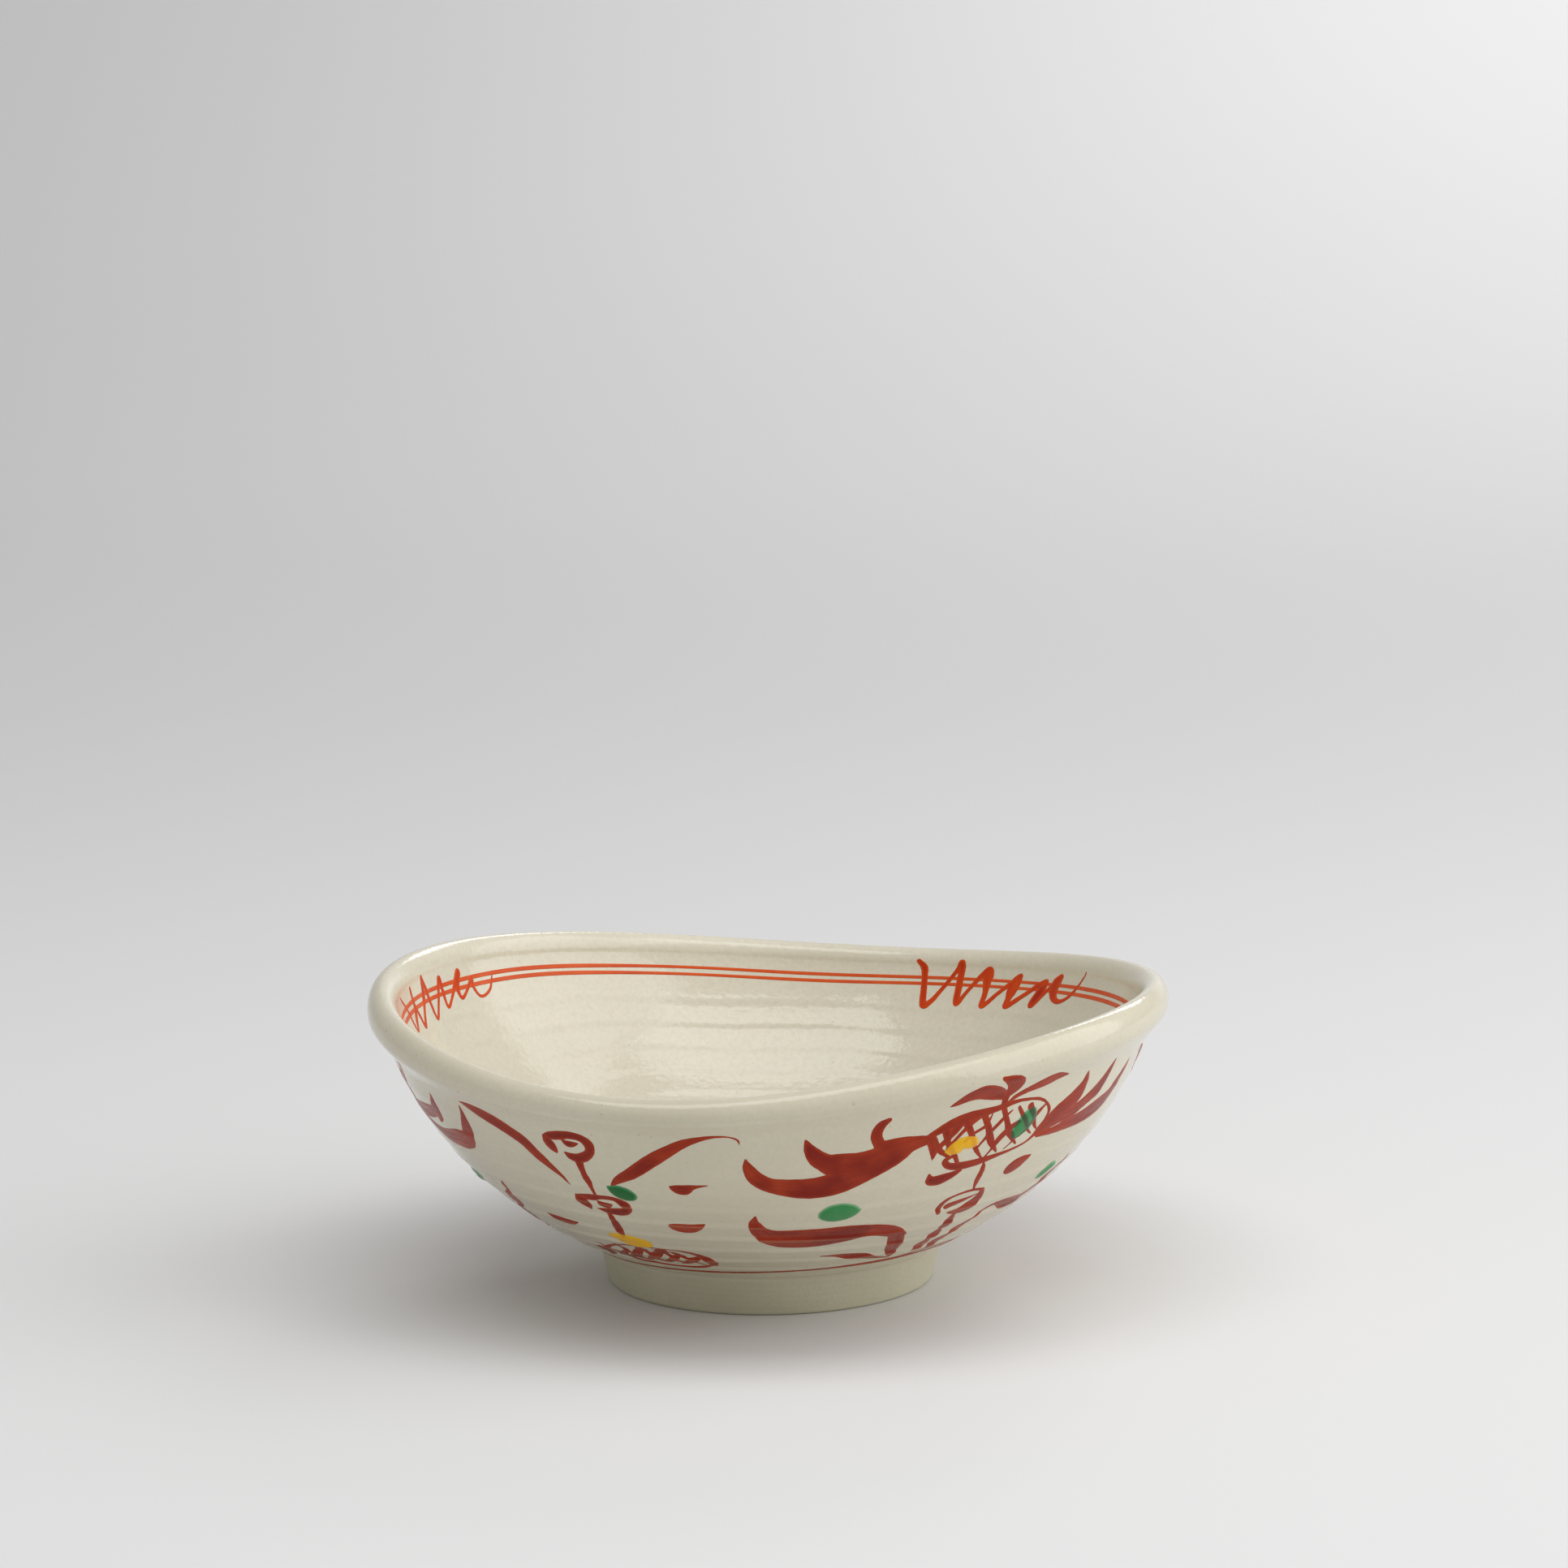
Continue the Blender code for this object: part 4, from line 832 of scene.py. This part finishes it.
class Nodes:
    """Short calls for building a material's node tree."""

    def __init__(self, name):
        self.material = bpy.data.materials.new(name)
        self.material.use_nodes = True
        self.tree = self.material.node_tree
        self.shader = self.tree.nodes["Principled BSDF"]
        self.place = self.new("ShaderNodeTexCoord", {}, "Object")

    def new(self, kind, inputs, output=0, **settings):
        """Adds a node, sets it up, links or sets its inputs, and returns one of its outputs."""
        node = self.tree.nodes.new(kind)
        for key, value in settings.items():
            setattr(node, key, value)
        for key, value in inputs.items():
            self.put(node.inputs[key], value)
        return node.outputs[output]

    def put(self, target, value):
        """Links a socket, or sets a plain value."""
        if isinstance(value, bpy.types.NodeSocket):
            self.tree.links.new(value, target)
        elif isinstance(value, tuple) and len(value) == 3 and target.type == "RGBA":
            target.default_value = (*value, 1.0)
        else:
            target.default_value = value

    def maths(self, operation, a, b=0.5, c=0.5, clamp=False):
        return self.new("ShaderNodeMath", {0: a, 1: b, 2: c}, operation=operation, use_clamp=clamp)

    def mix(self, share, a, b):
        return self.new("ShaderNodeMix", {0: share, 6: a, 7: b}, 2, data_type="RGBA")

    def ramp(self, value, low, high, start=0.0, end=1.0):
        """Maps value from low..high to start..end, smoothly and clamped."""
        inputs = {0: value, 1: low, 2: high, 3: start, 4: end}
        return self.new("ShaderNodeMapRange", inputs, interpolation_type="SMOOTHSTEP")

    def noise(self, scale, detail, roughness=0.5, at=None):
        inputs = {"Vector": at or self.place, "Scale": scale, "Detail": detail,
                  "Roughness": roughness}
        return self.new("ShaderNodeTexNoise", inputs, "Fac")

    def attribute(self, name):
        return self.new("ShaderNodeAttribute", {}, "Fac", attribute_name=name)

    def bump(self, height, distance, onto=None):
        inputs = {"Strength": 1.0, "Distance": distance, "Height": height}
        if onto is not None:
            inputs["Normal"] = onto
        return self.new("ShaderNodeBump", inputs)

    def set(self, **inputs):
        for key, value in inputs.items():
            self.put(self.shader.inputs[key.replace("_", " ")], value)
        return self.material


def specks(nodes, colour, kind):
    """Scatters specks over a colour: full at a speck's middle, on a share of scattered points."""
    (scale, size, share), strength, speck_colour = kind
    inputs = {"Vector": nodes.place, "Scale": scale}
    distance = nodes.new("ShaderNodeTexVoronoi", inputs, "Distance")
    chance = nodes.new("ShaderNodeSeparateColor", {0: distance.node.outputs["Color"]})
    chosen = nodes.maths("LESS_THAN", chance, share)
    grown = nodes.maths("MULTIPLY", chance.node.outputs[1], size)
    spot = nodes.ramp(distance, 0.35 * size, nodes.maths("ADD", grown, 0.45 * size), 1.0, 0.0)
    shown = nodes.maths("MULTIPLY", spot, chosen)
    return nodes.mix(nodes.maths("MULTIPLY", shown, strength), colour, speck_colour)


def glaze_material():
    """A cream glaze over buff clay: thinner and yellower outside, lighter inside as thicker glaze
    and as painted light, crowded with iron specks.
    """
    nodes = Nodes("glaze")
    broad = nodes.ramp(nodes.noise(22.0, 3.0, 0.5), 0.3, 0.7)
    outside = nodes.mix(broad, *GLAZE_OUTSIDE)
    # Partly painted light: the inside copy of the glaze is lighter to brighten the inside.
    inside = nodes.mix(broad, *GLAZE_INSIDE_THICK_AND_LIT)
    colour = nodes.mix(nodes.attribute("inside"), outside, inside)
    fine = nodes.noise(900.0, 2.0, 0.6)
    colour = nodes.mix(nodes.ramp(fine, 0.35, 0.75, 0.0, 0.35), colour, GLAZE_GRAIN)
    colour = specks(nodes, colour, GREY_SPECKS)
    colour = specks(nodes, colour, IRON_SPECKS)
    orange_peel = nodes.bump(nodes.noise(700.0, 1.0, 0.5), 0.00006)
    pits = nodes.bump(nodes.noise(2600.0, 1.0, 0.5), 0.000012, onto=orange_peel)
    roughness = nodes.ramp(nodes.noise(160.0, 3.0, 0.6), 0.3, 0.7, 0.07, 0.12)
    return nodes.set(Base_Color=colour, Roughness=roughness, IOR=1.5, Normal=pits)


def clay_material():
    """Bare buff clay, with the glaze that ran over the foot's upper edge."""
    nodes = Nodes("clay")
    broad = nodes.ramp(nodes.noise(40.0, 3.0, 0.55), 0.3, 0.7)
    colour = nodes.mix(broad, *CLAY)
    fine = nodes.noise(1500.0, 3.0, 0.6)
    colour = nodes.mix(nodes.ramp(fine, 0.4, 0.75, 0.0, 0.4), colour, CLAY_GRAIN)
    colour = specks(nodes, colour, CLAY_SPECKS)
    height = nodes.new("ShaderNodeSeparateXYZ", {0: nodes.place}, 2)
    wander = nodes.noise(60.0, 2.0, 0.5)
    wander = nodes.maths("MULTIPLY_ADD", wander, 2 * EDGE_WANDER, -EDGE_WANDER)
    edge = nodes.maths("ADD", height, wander)
    middle = TABLE_HEIGHT + GLAZE_EDGE * MM
    ran = nodes.ramp(edge, middle - EDGE_SOFTNESS, middle + EDGE_SOFTNESS)
    colour = nodes.mix(ran, colour, GLAZE_ON_FOOT)
    grain = nodes.bump(fine, 0.00003)
    roughness = nodes.ramp(ran, 0.0, 1.0, 0.42, 0.15)
    return nodes.set(Base_Color=colour, Roughness=roughness, Normal=grain)


def red_material(name, thin, middle, pooled):
    """Iron red: orange where the brush dragged thin, deep where it is loaded, darkest where the
    wet paint pooled in the middle of a broad stroke, with a painted highlight on the rings'
    ridges."""
    nodes = Nodes(name)
    depth = nodes.attribute("depth")
    along = nodes.attribute("along")
    across = nodes.attribute("across")
    width = nodes.attribute("width")
    path = nodes.new("ShaderNodeCombineXYZ", {0: nodes.maths("MULTIPLY", along, 0.07),
                                              1: nodes.maths("MULTIPLY", across, 0.8)})
    streak = nodes.noise(1.0, 3.0, 0.62, at=path)
    blot = nodes.noise(210.0, 3.0, 0.55)
    load = nodes.maths("MULTIPLY_ADD", streak, 1.4, -0.15)
    load = nodes.maths("ADD", load, nodes.maths("MULTIPLY_ADD", blot, 1.1, -0.55), clamp=True)
    colour = nodes.mix(load, thin, middle)
    cloud = nodes.ramp(nodes.noise(95.0, 2.0, 0.5), 0.35, 0.65)
    pool = nodes.maths("MULTIPLY", nodes.ramp(depth, 0.1, 0.9), cloud)
    broad = nodes.ramp(width, 0.8, 2.2, 0.3, 0.85)
    colour = nodes.mix(nodes.maths("MULTIPLY", pool, broad), colour, pooled)
    # Painted highlight: paler red along the ridges of the throwing rings.
    ridge_highlight = nodes.maths("MULTIPLY", nodes.ramp(nodes.attribute("ridge"), 0.08, 0.17), 0.36)
    colour = nodes.mix(ridge_highlight, colour, RIDGE_HIGHLIGHT_RED)
    feather = nodes.ramp(depth, 0.0, 0.07, 0.45, 0.0)
    colour = nodes.mix(feather, colour, thin)
    height = nodes.maths("MULTIPLY_ADD", streak, 0.6, nodes.maths("MULTIPLY", blot, 0.4))
    roughness = nodes.ramp(streak, 0.3, 0.7, 0.20, 0.32)
    return nodes.set(Base_Color=colour, Roughness=roughness, Specular_IOR_Level=0.15,
                     Normal=nodes.bump(height, 0.00004))


def drop_material(name, thin, thick, beneath, cover):
    """A glassy enamel drop: paler at its edge, deeper in its middle, showing red under it."""
    nodes = Nodes(name)
    depth = nodes.attribute("depth")
    cloud = nodes.maths("MULTIPLY_ADD", nodes.noise(330.0, 2.0, 0.5), 0.5, -0.25)
    load = nodes.maths("ADD", nodes.ramp(depth, 0.0, 0.65), cloud, clamp=True)
    colour = nodes.mix(load, thin, thick)
    colour = nodes.mix(nodes.maths("MULTIPLY", nodes.attribute("under"), cover), colour, beneath)
    normal = nodes.bump(nodes.noise(500.0, 1.0, 0.5), 0.00004)
    return nodes.set(Base_Color=colour, Roughness=0.12, Specular_IOR_Level=0.25, Normal=normal)


def floor_material():
    nodes = Nodes("floor")
    colour = nodes.mix(nodes.noise(1.4, 2.0, 0.5), *FLOOR)
    return nodes.set(Base_Color=colour, Roughness=0.75, Specular_IOR_Level=0.2)


# ---------------------------------------------------------------- the bowl


def paint_scene(side, turn, pod_climb, change, paints):
    """The scene that was painted three times around the bowl."""

    def moved(strokes, climb=0.0):
        return turned_strokes(strokes, turn, climb, change)

    def red_piece(motif, strokes):
        make_enamel(f"{motif}_{side}", OUTER, strokes, paints["red"])

    tail = LEFT_FISH_TAIL if side == "left" else moved(FISH_TAIL)
    red_piece("fish", moved(CLOUD_WAVE + FISH_BODY + FISH_FEELERS) + tail)
    for motif, strokes in (("low_wave", LOW_WAVE), ("arch_leaf", ARCH_LEAF), ("vine", VINE)):
        red_piece(motif, moved(strokes))
    red_piece("pod", moved(POD, pod_climb))
    red_piece("scroll", moved(SCROLL))
    red_piece("reed", LEFT_REED if side == "left" else moved(REED))
    side_turn, side_climb = LEFT_SIDE_DROP if side == "left" else (turn, 0.0)
    side_drop = turned_strokes(GREEN_SIDE_DROP, side_turn, side_climb, change)
    for motif, strokes, paint in (("green_pebble", moved(GREEN_PEBBLE), "green"),
                                  ("green_bud", moved(GREEN_BUD), "deep_green"),
                                  ("green_side_drop", side_drop, "green")):
        make_drop(f"{motif}_{side}", strokes, paints[paint])
    make_drop(f"yellow_bud_{side}", moved(YELLOW_BUD), paints["yellow"], under=moved(VINE[-1:]))


def paint_single_strokes(paints):
    """Brushwork that isn't part of the repeated scene."""
    for motif, stroke in SINGLES.items():
        make_enamel(f"{motif}_front", OUTER, (stroke,), paints["red"])
    strokes = turned_strokes(RIGHT_LONG_LEAF, RIGHT_TURN, 0.0, REPEAT_CHANGE)
    make_enamel("long_leaf_right", OUTER, strokes, paints["red"])
    for colour, strokes in (("green", GREEN_FISH_DROP), ("yellow", YELLOW_FISH_DROP)):
        make_drop(f"{colour}_fish_drop_front", strokes, paints[colour], under=FISH_BODY)


def foot_distance(degrees):
    turn = np.radians(degrees - FOOT_LINE_CREST)
    mean, once, twice = FOOT_LINE
    return mean + once * np.cos(turn) + twice * np.cos(2 * turn)


def inner_distance(degrees, middle, sag):
    dip = sag * np.exp(-(((degrees - INNER_SAG_AT) / INNER_SAG_SPREAD) ** 2))
    return middle + dip + LINE_STRAY * soft_noise(degrees, middle, 3)


def paint_lines(paints):
    swell = 1.0 + LINE_SWELL * soft_noise(RING_DEGREES, 3.0, 4)
    make_ring("foot_line", OUTER, foot_distance(RING_DEGREES), FOOT_LINE_WIDTH * swell,
              paints["red"])
    make_enamel("foot_line_end", OUTER, FOOT_LINE_END, paints["red"], node="foot_line")
    for name, (middle, sag) in zip(("inner_line_upper", "inner_line_lower"), INNER_LINES):
        make_ring(name, INNER, inner_distance(RING_DEGREES, middle, sag), INNER_LINE_WIDTH * swell,
                  paints["line_red"])
    rows = (("zigzag_left", ZIGZAG_LEFT, 0.0), ("zigzag_right", ZIGZAG_RIGHT, 0.0),
            ("zigzag_front", ZIGZAG_RIGHT, FRONT_ZIGZAG_TURN))
    for name, points, turn in rows:
        make_enamel(name, INNER, turned_strokes((points,), turn), paints["warm_red"],
                    layer=ZIGZAG_LAYER)


# ---------------------------------------------------------------- stage, light and camera


# The sweep: where its flat part starts and ends, the bend behind it, its height and half width.
FLOOR_FRONT = -2.5
FLOOR_BACK = 1.2
BEND_RADIUS = 1.6
BEND_STEPS = 24
BACKDROP_HEIGHT = 5.0
FLOOR_HALF = 4.0

# Area lights: place, the point they aim at, width and length, watts.
LIGHTS = {
    "softbox": ((0.04, -0.19, 1.0), (0.04, -0.19, 0.0), (1.15, 0.5), 4.3),
    "window": ((1.1, -0.12, 0.62), (0.0, 0.0, 0.03), (1.5, 1.3), 9.2),
    "backdrop_light": ((0.62, 1.75, 1.0), (0.35, 1.65, 0.1), (0.7, 0.7), 5.8),
}
WORLD_STRENGTH = 0.43


def make_floor():
    """A pale sweep: flat under the bowl, then curving up behind it."""
    profile = [(FLOOR_FRONT, 0.0), (FLOOR_BACK, 0.0)]
    for i in range(1, BEND_STEPS + 1):
        angle = math.radians(90.0 * i / BEND_STEPS)
        profile.append((FLOOR_BACK + BEND_RADIUS * math.sin(angle),
                        BEND_RADIUS * (1 - math.cos(angle))))
    profile.append((FLOOR_BACK + BEND_RADIUS, BACKDROP_HEIGHT))
    vertices = [(side * FLOOR_HALF, y, TABLE_HEIGHT + z) for y, z in profile for side in (-1, 1)]
    faces = [(2 * i, 2 * i + 1, 2 * i + 3, 2 * i + 2) for i in range(len(profile) - 1)]
    mesh_object("floor", vertices, faces, floor_material())


def make_light():
    for name, (place, aim, size, power) in LIGHTS.items():
        light = bpy.data.lights.new(name, "AREA")
        light.shape = "RECTANGLE"
        light.size, light.size_y = size
        light.energy = power
        item = bpy.data.objects.new(name, light)
        item.location = place
        item.rotation_euler = (Vector(aim) - Vector(place)).to_track_quat("-Z", "Y").to_euler()
        bpy.context.scene.collection.objects.link(item)
    world = bpy.data.worlds.new("studio")
    world.use_nodes = True
    background = world.node_tree.nodes["Background"]
    background.inputs[0].default_value = (1.0, 1.0, 1.0, 1.0)
    background.inputs[1].default_value = WORLD_STRENGTH
    bpy.context.scene.world = world
    bpy.context.scene.view_settings.view_transform = "Standard"


CAMERA_AIM = (0.0, 0.0, 0.030)
CAMERA_DISTANCE = 1.2091
CAMERA_ELEVATION = 13.33
CAMERA_TILT_UP = 3.546
CAMERA_TURN_RIGHT = 0.2025
CAMERA_ROLL = 0.766
LENS = 130.43


def make_camera():
    elevation = math.radians(CAMERA_ELEVATION)
    away = Vector((0.0, -math.cos(elevation), math.sin(elevation)))
    place = Vector(CAMERA_AIM) + CAMERA_DISTANCE * away
    pitch = math.radians(CAMERA_TILT_UP - CAMERA_ELEVATION)
    turn = Matrix.Rotation(-math.radians(CAMERA_TURN_RIGHT), 4, "Z")
    tilt = Matrix.Rotation(math.pi / 2 + pitch, 4, "X")
    roll = Matrix.Rotation(-math.radians(CAMERA_ROLL), 4, "Z")
    data = bpy.data.cameras.new("camera")
    data.lens = LENS
    data.sensor_width = 36.0
    data.clip_start = 0.05
    camera = bpy.data.objects.new("camera", data)
    camera.matrix_world = Matrix.Translation(place) @ turn @ tilt @ roll
    bpy.context.scene.collection.objects.link(camera)
    bpy.context.scene.camera = camera


def build():
    paints = {
        "red": (red_material("iron_red", *IRON_RED), "iron_red_enamel"),
        "warm_red": (red_material("warm_red", *WARM_RED), "iron_red_enamel"),
        "line_red": (red_material("line_red", *LINE_RED), "iron_red_enamel"),
        "green": (drop_material("green", *GREEN, 0.85), "green_enamel"),
        "deep_green": (drop_material("deep_green", *DEEP_GREEN, 0.5), "green_enamel"),
        "yellow": (drop_material("yellow", *YELLOW, 0.5), "yellow_enamel"),
    }
    make_clay((clay_material(), "bare_clay"))
    make_glaze((glaze_material(), "cream_glaze"))
    paint_lines(paints)
    paint_scene("front", 0.0, 0.0, 0.0, paints)
    paint_scene("left", LEFT_TURN, 0.0, REPEAT_CHANGE, paints)
    paint_scene("right", RIGHT_TURN, RIGHT_POD_RAISE, REPEAT_CHANGE, paints)
    paint_single_strokes(paints)
    make_floor()
    make_light()
    make_camera()


build()
